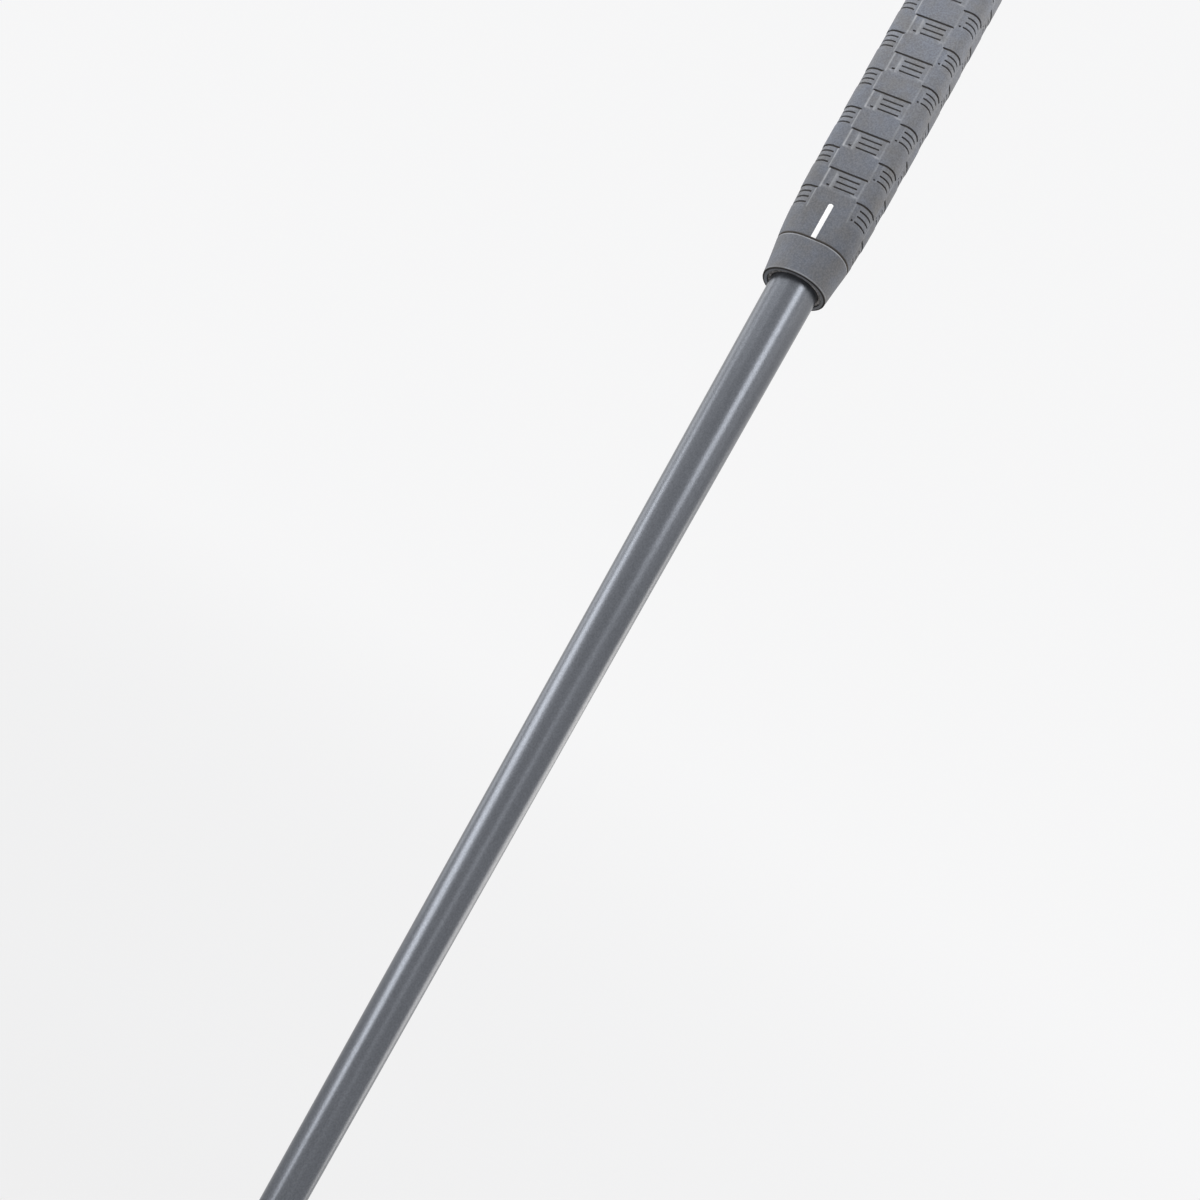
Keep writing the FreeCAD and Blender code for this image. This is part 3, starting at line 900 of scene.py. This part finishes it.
def store_wear_and_painted_light(sheet, grip):
    """Keeps, for its material, where the sheet is darkened by dirt and painted shade and where it
    is made paler by worn edges and painted highlights.
    """
    count = len(sheet.data.vertices)
    grooved = [0.0] * count
    rubbed = [0.0] * count
    pitch = grip.band_pitch / MM
    first = grip.first_band / MM
    gap = (grip.band_pitch - grip.panel_height) / MM
    deep = grip.groove_depth / MM
    rows = panel_rows(grip)
    for i, vertex in enumerate(sheet.data.vertices):
        x, y, z = vertex.co
        if z < -SKIN * 0.6:
            continue
        # Painted shade in the crease over the band, along the sleeve's lower lip.
        if y < BAND_TOP + 0.45:
            grooved[i] = 1.0
            continue
        # Dirt and painted shade on the grooves' floors.
        if z < -0.6 * deep:
            grooved[i] = 1.0
            continue
        column = x / COLUMN_WIDTH + 0.5
        share = column - math.floor(column)
        row = (y - first) / pitch
        inside = (row - math.floor(row)) * pitch
        near = min(share, 1 - share)
        odd = (math.floor(row + 0.01) + math.floor(column + 0.01)) % 2 == 1
        lowest = row < 0.99 and (odd or column < 1.01 or column > COLUMNS - 0.01)
        if row < 0 or lowest or row > rows - 0.01:
            continue
        by_front = abs(x - COLUMN_WIDTH / 2) < 0.1 * COLUMN_WIDTH
        in_front = abs(x) < COLUMN_WIDTH / 2
        # Wear and painted highlights: the panels' borders, the line by the short grooves, the
        # panels' lower edges and the ribs' surroundings are made paler.
        if not odd and abs(near - BORDER) < 0.005 and inside > gap - 0.05:
            rubbed[i] = (1.0 if in_front else 0.7) if by_front else 0.3
        elif (in_front and not odd and abs(share - FRONT_PANEL[2]) < 0.005
              and gap - 0.05 < inside < pitch - 0.7):
            rubbed[i] = 0.65
        elif in_front and not odd and abs(inside - gap) < 0.05 and near < 0.14:
            rubbed[i] = 0.5
        elif near < 0.005:
            rubbed[i] = 0.15
        elif not odd and 0.1 < share < 0.8 and inside > gap + 0.4:
            rubbed[i] = 0.12
    keep_values(sheet, "grooved", grooved)
    keep_values(sheet, "rubbed", rubbed)


class PUTTER_OT_grip_sleeve(Operator):
    """Models the rubber sleeve with its checker of ribbed and plain panels."""
    bl_idname = "putter.grip_sleeve"
    bl_label = "Grip sleeve"

    def execute(self, context):
        grip = context.scene.putter_grip
        sheet = lay_panels(grip)
        close_sleeve(sheet)
        store_wear_and_painted_light(sheet, grip)
        store_painted_falloff(sheet)
        wrap_on_grip(sheet, grip.front_column / MM)
        smooth(sheet, 38)
        material = rubber_material("grip_rubber", grip.rubber, grip.rubber_worn_and_lit, grip.groove_dirt_and_shade)
        finish_piece(sheet, material, "grip_rubber", "grip_skin")
        return {"FINISHED"}


class PUTTER_OT_grip_band(Operator):
    """Models the plain band between the sleeve and the mouth, with its lips."""
    bl_idname = "putter.grip_band"
    bl_label = "Grip band"

    def execute(self, context):
        grip = context.scene.putter_grip
        nothing_selected()
        bpy.ops.mesh.primitive_cube_add(size=1, location=(0, BAND_TOP / 2, -SKIN / 2))
        band = bpy.context.object
        band.name = "grip_band_form"
        band.scale = (COLUMN_WIDTH * COLUMNS, BAND_TOP, SKIN)
        take_over_place()
        start_edit(band, "FACE")
        pick("faces", lambda f: abs(f.normal.x) > 0.9)
        bpy.ops.mesh.delete(type="FACE")
        bpy.ops.mesh.select_mode(type="EDGE")
        pick("edges", lambda e: all(v.co.z < -SKIN + 0.01 and v.co.y < 0.01 for v in e.verts))
        bpy.ops.transform.translate(value=(0, BAND_INNER_LIFT, 0))
        pick("edges", lambda e: all(v.co.z > -0.01 and v.co.y < 0.01 for v in e.verts))
        bevel(*BAND_LOWER_LIP)
        pick("edges", lambda e: all(v.co.z > -0.01 and v.co.y > BAND_TOP - 0.01 for v in e.verts))
        bevel(*BAND_UPPER_LIP)
        cut_across(1, BAND_HEIGHTS)
        cut_across(2, BAND_DEPTHS)
        whole = COLUMN_WIDTH * COLUMNS
        cut_across(0, [whole * k / BAND_CUTS - whole / 2 for k in range(1, BAND_CUTS)])
        end_edit()
        band.data.transform(Matrix.Translation((COLUMN_WIDTH * (COLUMNS / 2 - 0.5), 0, 0)))
        store_painted_falloff(band)
        places = [(v.co.y, v.co.z) for v in band.data.vertices]
        # Painted highlights on the band's upper and lower lips.
        keep_values(band, "rubbed", [0.6 if y > BAND_TOP - 0.45 and z > -0.3
                                     else 0.35 * (z > -0.01 and 0.35 < y < 0.7)
                                     for y, z in places])
        # Painted shade at the mouth: a dark line along the outer rim and a darker outer part of
        # the end face.
        keep_values(band, "grooved", [(y < 0.25) * (1.0 if z > -0.3 else 0.8 if z > -0.5 else 0.0)
                                      for y, z in places])
        wrap_on_grip(band, grip.front_column / MM)
        smooth(band, 40)
        # The band's darkest tone, a quarter of the groove colour, is painted shade at the mouth.
        material = rubber_material("band_rubber", grip.rubber, grip.rubber_worn_and_lit,
                                   scaled(grip.groove_dirt_and_shade, 0.25))
        finish_piece(band, material, "band_rubber", "grip_band")
        return {"FINISHED"}


class PUTTER_OT_grip_mark(Operator):
    """Models the white bar over the band, with its round upper end."""
    bl_idname = "putter.grip_mark"
    bl_label = "Grip mark"

    def execute(self, context):
        grip = context.scene.putter_grip
        width = MARK_WIDTH * COLUMN_WIDTH * MM / grip.front_column
        bottom = BAND_TOP + MARK_GAP
        top = bottom + MARK_LENGTH
        nothing_selected()
        bpy.ops.mesh.primitive_cube_add(size=1)
        mark = bpy.context.object
        mark.name = "grip_mark_bar"
        mark.scale = (width, MARK_LENGTH, MARK_THICKNESS)
        mark.location = (0, (bottom + top) / 2, MARK_PROUD - MARK_THICKNESS / 2)
        take_over_place()
        start_edit(mark, "EDGE")
        pick("edges", lambda e: abs(middle_of(e).y - top) < 0.001
             and abs(e.verts[0].co.z - e.verts[1].co.z) > 0.1)
        bevel(width * 0.499, 8)
        merge_points(0.002)
        pick("edges", lambda e: all(v.co.z > MARK_PROUD - 0.01 for v in e.verts)
             and len(e.link_faces) == 2
             and abs(e.link_faces[0].normal.dot(e.link_faces[1].normal)) < 0.5)
        bevel(MARK_EDGE, 2)
        end_edit()
        wrap_on_grip(mark, grip.front_column / MM)
        smooth(mark, 40)
        material = plain_material("white_mark", grip.mark, 0.5, variation=0.01,
                                  grain_size=0.0004, bump_strength=0.05)
        finish_piece(mark, material, "white_mark", "grip_mark")
        return {"FINISHED"}


class PUTTER_OT_grip_ends(Operator):
    """Finishes the foam core, the tape and the butt cap."""
    bl_idname = "putter.grip_ends"
    bl_label = "Grip core, tape and cap"

    def execute(self, context):
        grip = context.scene.putter_grip
        foam = plain_material("core_foam", grip.foam, 0.95, variation=0.25,
                              grain_size=0.0009, bump_strength=1.0, speckle=0.6)
        refinish("grip_core", foam)
        refinish("grip_tape", plain_material("tape_fabric", (0.5, 0.47, 0.4), 0.85))
        refinish("butt_cap", rubber_material("cap_rubber", scaled(grip.rubber, 0.8),
                                             grip.rubber_worn_and_lit, grip.groove_dirt_and_shade))
        return {"FINISHED"}


# Shaft

class PUTTER_OT_shaft(Operator):
    """Models the painted shaft, tapering from the butt to the tip."""
    bl_idname = "putter.shaft"
    bl_label = "Shaft"

    def execute(self, context):
        look = context.scene.putter_shaft
        outer = [(radius, height) for height, radius in SHAFT_STATIONS]
        inner = [(radius - SHAFT_WALL, height) for radius, height in reversed(outer)]
        tube = turned_body("shaft_tube", outer + inner, 112)
        bpy.ops.mesh.bridge_edge_loops()
        face_outwards()
        end_edit()
        for vertex in tube.data.vertices:
            vertex.co = to_world(*vertex.co)
        smooth(tube, 30)
        material, shader = new_material("shaft_finish")
        tree = material.node_tree
        shader.inputs["Metallic"].default_value = 0.85
        grain = place_group(tree, grain_group(), Grain_size=0.00045, Mottle_size=0.03)
        height, mottle = grain.outputs["Height"], grain.outputs["Mottle"]
        base = tone_mix(tree, scaled(look.paint, 0.96), scaled(look.paint, 1.04),
                        spread(tree, mottle, 0.3, 0.7))
        link(tree, speckled(tree, base, height, 0.12), shader.inputs["Base Color"])
        link(tree, spread(tree, mottle, 0.0, 1.0, look.roughness - 0.02,
                          look.roughness + 0.02), shader.inputs["Roughness"])
        finish_piece(tube, material, "shaft_finish", "shaft")
        return {"FINISHED"}


# Head

def on_face(piece):
    """Moves a plate drawn in mm, Z out of the face and Y up it, to the insert's place."""
    low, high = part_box("face_insert")
    height = (low.z + high.z) / 2 + MM * INSERT_THICKNESS / 2 * math.sin(LOFT)
    front = low.y + MM * INSERT_HEIGHT / 2 * math.sin(LOFT)
    turn = Matrix.Rotation(math.pi / 2 - LOFT, 4, "X")
    middle = Vector(((low.x + high.x) / 2, front, height))
    piece.data.transform(Matrix.Translation(middle) @ turn @ Matrix.Scale(MM, 4))


def in_sole(piece, node):
    """Moves a body drawn in mm round Z to a sole weight's place."""
    low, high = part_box(node)
    middle = Vector(((low.x + high.x) / 2, (low.y + high.y) / 2, low.z))
    piece.data.transform(Matrix.Translation(middle) @ Matrix.Scale(MM, 4))


def round_bar(name, radius, low, high, x=0.0, vertices=48):
    bpy.ops.mesh.primitive_cylinder_add(vertices=vertices, radius=radius, depth=high - low,
                                        location=(x, 0, (low + high) / 2))
    bar = bpy.context.object
    bar.name = name
    take_over_place()
    return bar


class PUTTER_OT_insert(Operator):
    """Models the striking insert with its milled lines and its two screw holes."""
    bl_idname = "putter.insert"
    bl_label = "Striking insert"

    def execute(self, context):
        look = context.scene.putter_head
        low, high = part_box("face_insert")
        length = (high.x - low.x) / MM
        nothing_selected()
        bpy.ops.mesh.primitive_plane_add(size=1, location=(0, 0, -INSERT_THICKNESS))
        plate = bpy.context.object
        plate.name = "insert_plate"
        plate.scale = (length, INSERT_HEIGHT, 1)
        take_over_place()
        start_edit(plate, "VERT")
        bpy.ops.mesh.select_all(action="SELECT")
        bevel(INSERT_HEIGHT * 0.4999, 20, "VERTICES")
        merge_points(0.005)
        bpy.ops.mesh.select_all(action="SELECT")
        extrude(0, 0, INSERT_THICKNESS)
        bpy.ops.mesh.select_mode(type="EDGE")
        pick("edges", lambda e: all(v.co.z > -0.001 for v in e.verts))
        bevel(INSERT_EDGE, 2)
        pitch = look.milling_pitch / MM
        lines = math.floor((INSERT_HEIGHT / 2 - MILLED_MARGIN) / pitch)
        places = [k * pitch for k in range(-lines, lines + 1)]
        half = MILLED_HALF * pitch
        cut_across(1, [place + side * half for place in places for side in (-1, 1)])
        bpy.ops.mesh.select_mode(type="FACE")
        pick("faces", lambda f: f.normal.z > 0.99 and f.calc_center_median().z > -0.01
             and any(abs(f.calc_center_median().y - place) < 0.1 * pitch for place in places))
        bpy.ops.mesh.inset(thickness=MILLED_WALL, depth=-look.milling_depth / MM)
        face_outwards()
        end_edit()
        for side in (-1, 1):
            place = side * (length / 2 - INSERT_SCREW_INSET)
            cut_away(plate, round_bar("screw_hole", INSERT_SCREW_HOLE, -5.0, 1.0, place))
        on_face(plate)
        smooth(plate, 30)
        material = plain_material("insert_polymer", look.insert, 0.42, variation=0.06,
                                  grain_size=0.0003, bump_strength=0.12)
        finish_piece(plate, material, "insert_polymer", "face_insert")
        refinish("insert_screws", brushed_material("screw_steel", look.steel, 0.28, 0.0006))
        refinish("insert_membrane", plain_material("membrane_rubber", (0.05, 0.05, 0.05), 0.8))
        return {"FINISHED"}


def weight_outline(radius, whole):
    """Radius and height pairs of a weight: grooved flange, then the root of its thread."""
    in_1, in_2, in_3, in_4 = RIM_GROOVE
    return [(radius - in_4, 0.0), (radius - in_3, RIM_GROOVE_DEPTH),
            (radius - in_2, RIM_GROOVE_DEPTH), (radius - in_1, 0.0),
            (radius - FLANGE_EDGE, 0.0), (radius, FLANGE_EDGE),
            (radius, FLANGE_HEIGHT - FLANGE_EDGE), (radius - FLANGE_EDGE, FLANGE_HEIGHT),
            (THREAD_ROOT + 0.1, FLANGE_HEIGHT), (THREAD_ROOT, FLANGE_HEIGHT + 0.3),
            (THREAD_ROOT, whole - 0.6), (THREAD_ROOT - 0.6, whole)]


class PUTTER_OT_weights(Operator):
    """Models the two sole weights with their threads, grooved rims and key sockets."""
    bl_idname = "putter.weights"
    bl_label = "Sole weights"

    def execute(self, context):
        look = context.scene.putter_head
        steel = brushed_material("weight_steel", scaled(look.steel, 0.92), 0.26, 0.0004)
        washer = plain_material("washer_rubber", (0.03, 0.03, 0.032), 0.75)
        low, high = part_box("heel_weight")
        radius = (high.x - low.x) / 2 / MM
        whole = (high.z - low.z) / MM
        pitch = look.thread_pitch / MM
        core = turned_body("weight_core", weight_outline(radius, whole), 72)
        bpy.ops.mesh.fill_holes(sides=0)
        face_outwards()
        end_edit()
        cut_away(core, round_bar("key_socket", KEY_CORNER, -1.0, KEY_DEPTH, vertices=6))
        nothing_selected()
        bpy.ops.mesh.primitive_circle_add(vertices=3, radius=1.0, rotation=(math.pi / 2, 0, 0))
        thread = bpy.context.object
        thread.name = "weight_thread"
        take_over_place()
        start = FLANGE_HEIGHT + THREAD_START
        corners = ((THREAD_CREST, start), (THREAD_ROOT - 0.12, start + THREAD_FOOT * pitch),
                   (THREAD_ROOT - 0.12, start - THREAD_FOOT * pitch))
        for vertex, (across, height) in zip(thread.data.vertices, corners):
            vertex.co = (across, 0, height)
        turn = thread.modifiers.new("turn", "SCREW")
        turn.screw_offset = pitch
        turn.iterations = math.floor((whole - FLANGE_HEIGHT - THREAD_SPARE) / pitch)
        turn.steps = turn.render_steps = THREAD_STEPS
        turn.use_merge_vertices = False
        make_active(thread)
        bpy.ops.object.modifier_apply(modifier=turn.name)
        start_edit(thread, "EDGE")
        pick("edges", lambda e: e.is_boundary)
        bpy.ops.mesh.fill_holes(sides=0)
        face_outwards()
        end_edit()
        weight = join([core, thread], "threaded_weight")
        for side in ("heel", "toe"):
            node = side + "_weight"
            piece = copy_of(weight, (0, 0, 0))
            piece.name = side + "_threaded_weight"
            in_sole(piece, node)
            smooth(piece, 30)
            piece.data.materials.clear()
            piece.data.materials.append(steel)
            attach(piece, node)
            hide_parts(node)
            refinish(node + "_washer", washer)
        bpy.data.objects.remove(weight)
        return {"FINISHED"}


class PUTTER_OT_ferrule(Operator):
    """Models the black ferrule over the neck's socket, with its two trim grooves."""
    bl_idname = "putter.ferrule"
    bl_label = "Ferrule"

    def execute(self, context):
        foot, tip = FERRULE_FOOT_RADIUS, FERRULE_TIP_RADIUS
        rise = FERRULE_TOP - FERRULE_BOTTOM

        def radius_at(height):
            return foot + (tip - foot) * (height - FERRULE_BOTTOM) / rise

        outline = [(foot - 0.1, FERRULE_BOTTOM), (foot, FERRULE_BOTTOM + 0.1)]
        for over_foot in TRIM_GROOVES:
            low = FERRULE_BOTTOM + over_foot
            high = low + TRIM_WIDTH
            bed = radius_at(low) - TRIM_DEPTH
            outline += [(radius_at(low), low), (bed, low + TRIM_WALL),
                        (bed, high - TRIM_WALL), (radius_at(high), high)]
        outline += [(radius_at(FERRULE_TOP - 0.35), FERRULE_TOP - 0.35),
                    (tip - 0.12, FERRULE_TOP - 0.08), (tip - 0.3, FERRULE_TOP),
                    (FERRULE_BORE, FERRULE_TOP), (FERRULE_BORE, FERRULE_BOTTOM)]
        ring = turned_body("ferrule_ring", outline, 72)
        bpy.ops.mesh.bridge_edge_loops()
        face_outwards()
        end_edit()
        for vertex in ring.data.vertices:
            vertex.co = to_world(*vertex.co)
        smooth(ring, 30)
        material = plain_material("ferrule_plastic", (0.012, 0.012, 0.013), 0.2, variation=0.15,
                                  bump_strength=0.03)
        finish_piece(ring, material, "ferrule_plastic", "ferrule")
        return {"FINISHED"}


class PUTTER_OT_head(Operator):
    """Finishes the head, the neck and their small parts."""
    bl_idname = "putter.head"
    bl_label = "Head and neck"

    def execute(self, context):
        look = context.scene.putter_head
        refinish("head_body", brushed_material("head_steel", look.steel, 0.33, 0.0007))
        refinish("neck", brushed_material("neck_steel", scaled(look.steel, 0.97), 0.3, 0.0007))
        refinish("sight_line", plain_material("white_fill", (0.88, 0.88, 0.87), 0.5))
        refinish("neck_screws", plain_material("screw_black", (0.03, 0.03, 0.03), 0.4, 1.0))
        refinish("tip_plug", plain_material("plug_plastic", (0.1, 0.1, 0.1), 0.6))
        return {"FINISHED"}


# Stage

def any_ray(tree, rays, *names):
    """1 for a ray of any of the named kinds."""
    found = rays.outputs[names[0]]
    for name in names[1:]:
        found = reckon(tree, "MAXIMUM", found, rays.outputs[name])
    return found


def mixed_shaders(tree, factor, first, second):
    """Two nodes' shaders mixed by a factor."""
    mix = add_node(tree, "ShaderNodeMixShader")
    link(tree, factor, mix.inputs[0])
    link(tree, first.outputs[0], mix.inputs[1])
    link(tree, second.outputs[0], mix.inputs[2])
    return mix


def faded_from(tree, place, fade):
    """Rises smoothly from a least share to 1 with the distance from a point."""
    point, near, far, least = fade
    away = add_node(tree, "ShaderNodeVectorMath", operation="DISTANCE")
    away.inputs[1].default_value = point
    link(tree, place.outputs["Object"], away.inputs[0])
    return spread(tree, away.outputs["Value"], near, far, least,
                  interpolation_type="SMOOTHSTEP")


def floor_paper(colour):
    """Pale paper that fades into the background away from the object, clear from below; the
    background is painted a little darker near a point on the floor.
    """
    material, shader = new_material("floor_paper")
    tree = material.node_tree
    out = next(node for node in tree.nodes if node.type == "OUTPUT_MATERIAL")
    shader.inputs["Base Color"].default_value = (*colour, 1)
    shader.inputs["Roughness"].default_value = 0.9
    shader.inputs["Specular IOR Level"].default_value = 0.2
    place = add_node(tree, "ShaderNodeTexCoord")
    pale = add_node(tree, "ShaderNodeEmission")
    # Painted shade: the plain background's tone is darker near a point on the floor.
    tone = tone_mix(tree, scaled(colour, 0.94), colour, faded_from(tree, place, BACKGROUND_SHADE_FADE))
    link(tree, tone, pale.inputs["Color"])
    rays = add_node(tree, "ShaderNodeLightPath")
    seen = any_ray(tree, rays, "Is Camera Ray", "Is Glossy Ray", "Is Transmission Ray")
    share = reckon(tree, "MULTIPLY", faded_from(tree, place, PAPER_FADE), seen)
    paper = mixed_shaders(tree, share, shader, pale)
    back = add_node(tree, "ShaderNodeNewGeometry").outputs["Backfacing"]
    below = reckon(tree, "MULTIPLY", back, rays.outputs["Is Camera Ray"])
    clear = add_node(tree, "ShaderNodeBsdfTransparent")
    sided = mixed_shaders(tree, below, paper, clear)
    link(tree, sided.outputs[0], out.inputs["Surface"])
    return material


def pale_surroundings(colour, ambient):
    """The background's colour to the camera and in mirrors, an even light to all else."""
    world = bpy.data.worlds.new("pale_surroundings")
    world.use_nodes = True
    tree = world.node_tree
    tree.nodes.clear()
    out = add_node(tree, "ShaderNodeOutputWorld")
    seen = add_node(tree, "ShaderNodeBackground")
    seen.inputs["Color"].default_value = (*colour, 1)
    seen.inputs["Strength"].default_value = 1.0
    even = add_node(tree, "ShaderNodeBackground")
    even.inputs["Color"].default_value = (1, 1, 1, 1)
    even.inputs["Strength"].default_value = ambient
    rays = add_node(tree, "ShaderNodeLightPath")
    share = any_ray(tree, rays, "Is Camera Ray", "Is Glossy Ray", "Is Transmission Ray")
    mix = mixed_shaders(tree, share, even, seen)
    link(tree, mix.outputs[0], out.inputs["Surface"])
    return world


def place_camera():
    """Sets up the camera of the photograph's view."""
    look = -TOWARDS * math.cos(TILT) + ALONG * math.sin(TILT)
    axis_up = ALONG * math.cos(TILT) + TOWARDS * math.sin(TILT)
    axis_right = ALONG.cross(TOWARDS)
    right = axis_up * math.sin(ROLL) + axis_right * math.cos(ROLL)
    up = axis_up * math.cos(ROLL) - axis_right * math.sin(ROLL)
    target = GROUND_POINT + ALONG * (MOUTH - AIM_UNDER_MOUTH)
    place = target - look * DISTANCE - axis_right * (AIM_ASIDE / FOCAL * DISTANCE)
    data = bpy.data.cameras.new("photo_camera")
    data.sensor_width = 36
    data.lens = 50
    data.clip_start = 0.01
    data.clip_end = 100
    camera = bpy.data.objects.new("photo_camera", data)
    bpy.context.collection.objects.link(camera)
    turn = Matrix((right, up, -look)).transposed().to_4x4()
    camera.matrix_world = Matrix.Translation(MM * place) @ turn
    return camera


def round_shaft(turn, height, distance):
    """A point at a turn about the shaft's axis from the camera's side, in degrees."""
    angle = math.radians(turn)
    side = TOWARDS * math.cos(angle) + ALONG.cross(TOWARDS) * math.sin(angle)
    return MM * (GROUND_POINT + ALONG * height + side * distance)


def strip_light(name, low, high, distance, width, colour, radiance):
    """A long soft light between two points round the shaft, facing it."""
    start, end = (round_shaft(*point, distance) for point in (low, high))
    place = (start + end) / 2
    length = (end - start).length
    data = bpy.data.lights.new(name, "AREA")
    data.shape = "RECTANGLE"
    data.size = length
    data.size_y = width
    data.energy = math.pi * width * length * radiance
    data.color = colour
    lamp = bpy.data.objects.new(name, data)
    bpy.context.collection.objects.link(lamp)
    back = (place - round_shaft(0, (low[1] + high[1]) / 2, 0)).normalized()
    right = (end - start - back * (end - start).dot(back)).normalized()
    turn = Matrix((right, back.cross(right), back)).transposed().to_4x4()
    lamp.matrix_world = Matrix.Translation(place) @ turn


class PUTTER_OT_stage(Operator):
    """Sets the floor, the pale surroundings, the soft lights and the camera."""
    bl_idname = "putter.stage"
    bl_label = "Stage"

    def execute(self, context):
        stage = context.scene.putter_stage
        scene = context.scene
        scene.view_settings.view_transform = "Standard"
        scene.camera = place_camera()
        scene.world = pale_surroundings(stage.background, stage.ambient)
        nothing_selected()
        bpy.ops.mesh.primitive_plane_add(size=FLOOR_SIZE, location=(0, 0, -FLOOR_DROP))
        floor = context.object
        floor.name = "floor"
        floor.data.materials.append(floor_paper(stage.background))
        for name, *light in LIGHTS:
            strip_light(name, *light, getattr(stage, name))
        return {"FINISHED"}


# Add-on

STEPS = (
    PUTTER_OT_grip_sleeve,
    PUTTER_OT_grip_band,
    PUTTER_OT_grip_mark,
    PUTTER_OT_grip_ends,
    PUTTER_OT_shaft,
    PUTTER_OT_ferrule,
    PUTTER_OT_head,
    PUTTER_OT_insert,
    PUTTER_OT_weights,
    PUTTER_OT_stage,
)


class PUTTER_PT_sidebar(Panel):
    """Lists the putter's pieces and their settings."""
    bl_label = "Putter"
    bl_space_type = "VIEW_3D"
    bl_region_type = "UI"
    bl_category = "Putter"

    def draw(self, context):
        for step in STEPS:
            self.layout.operator(step.bl_idname)
        for settings in (context.scene.putter_grip, context.scene.putter_shaft,
                         context.scene.putter_head, context.scene.putter_stage):
            box = self.layout.box()
            for name in settings.__annotations__:
                box.prop(settings, name)


SETTINGS = (GripSettings, ShaftSettings, HeadSettings, StageSettings)


def register():
    for kind in SETTINGS + STEPS + (PUTTER_PT_sidebar,):
        bpy.utils.register_class(kind)
    bpy.types.Scene.putter_grip = PointerProperty(type=GripSettings)
    bpy.types.Scene.putter_shaft = PointerProperty(type=ShaftSettings)
    bpy.types.Scene.putter_head = PointerProperty(type=HeadSettings)
    bpy.types.Scene.putter_stage = PointerProperty(type=StageSettings)


def unregister():
    del bpy.types.Scene.putter_stage
    del bpy.types.Scene.putter_head
    del bpy.types.Scene.putter_shaft
    del bpy.types.Scene.putter_grip
    for kind in reversed(SETTINGS + STEPS + (PUTTER_PT_sidebar,)):
        bpy.utils.unregister_class(kind)


def main():
    register()
    bpy.ops.putter.grip_sleeve()
    bpy.ops.putter.grip_band()
    bpy.ops.putter.grip_mark()
    bpy.ops.putter.grip_ends()
    bpy.ops.putter.shaft()
    bpy.ops.putter.ferrule()
    bpy.ops.putter.head()
    bpy.ops.putter.insert()
    bpy.ops.putter.weights()
    bpy.ops.putter.stage()


if __name__ == "__main__":
    main()
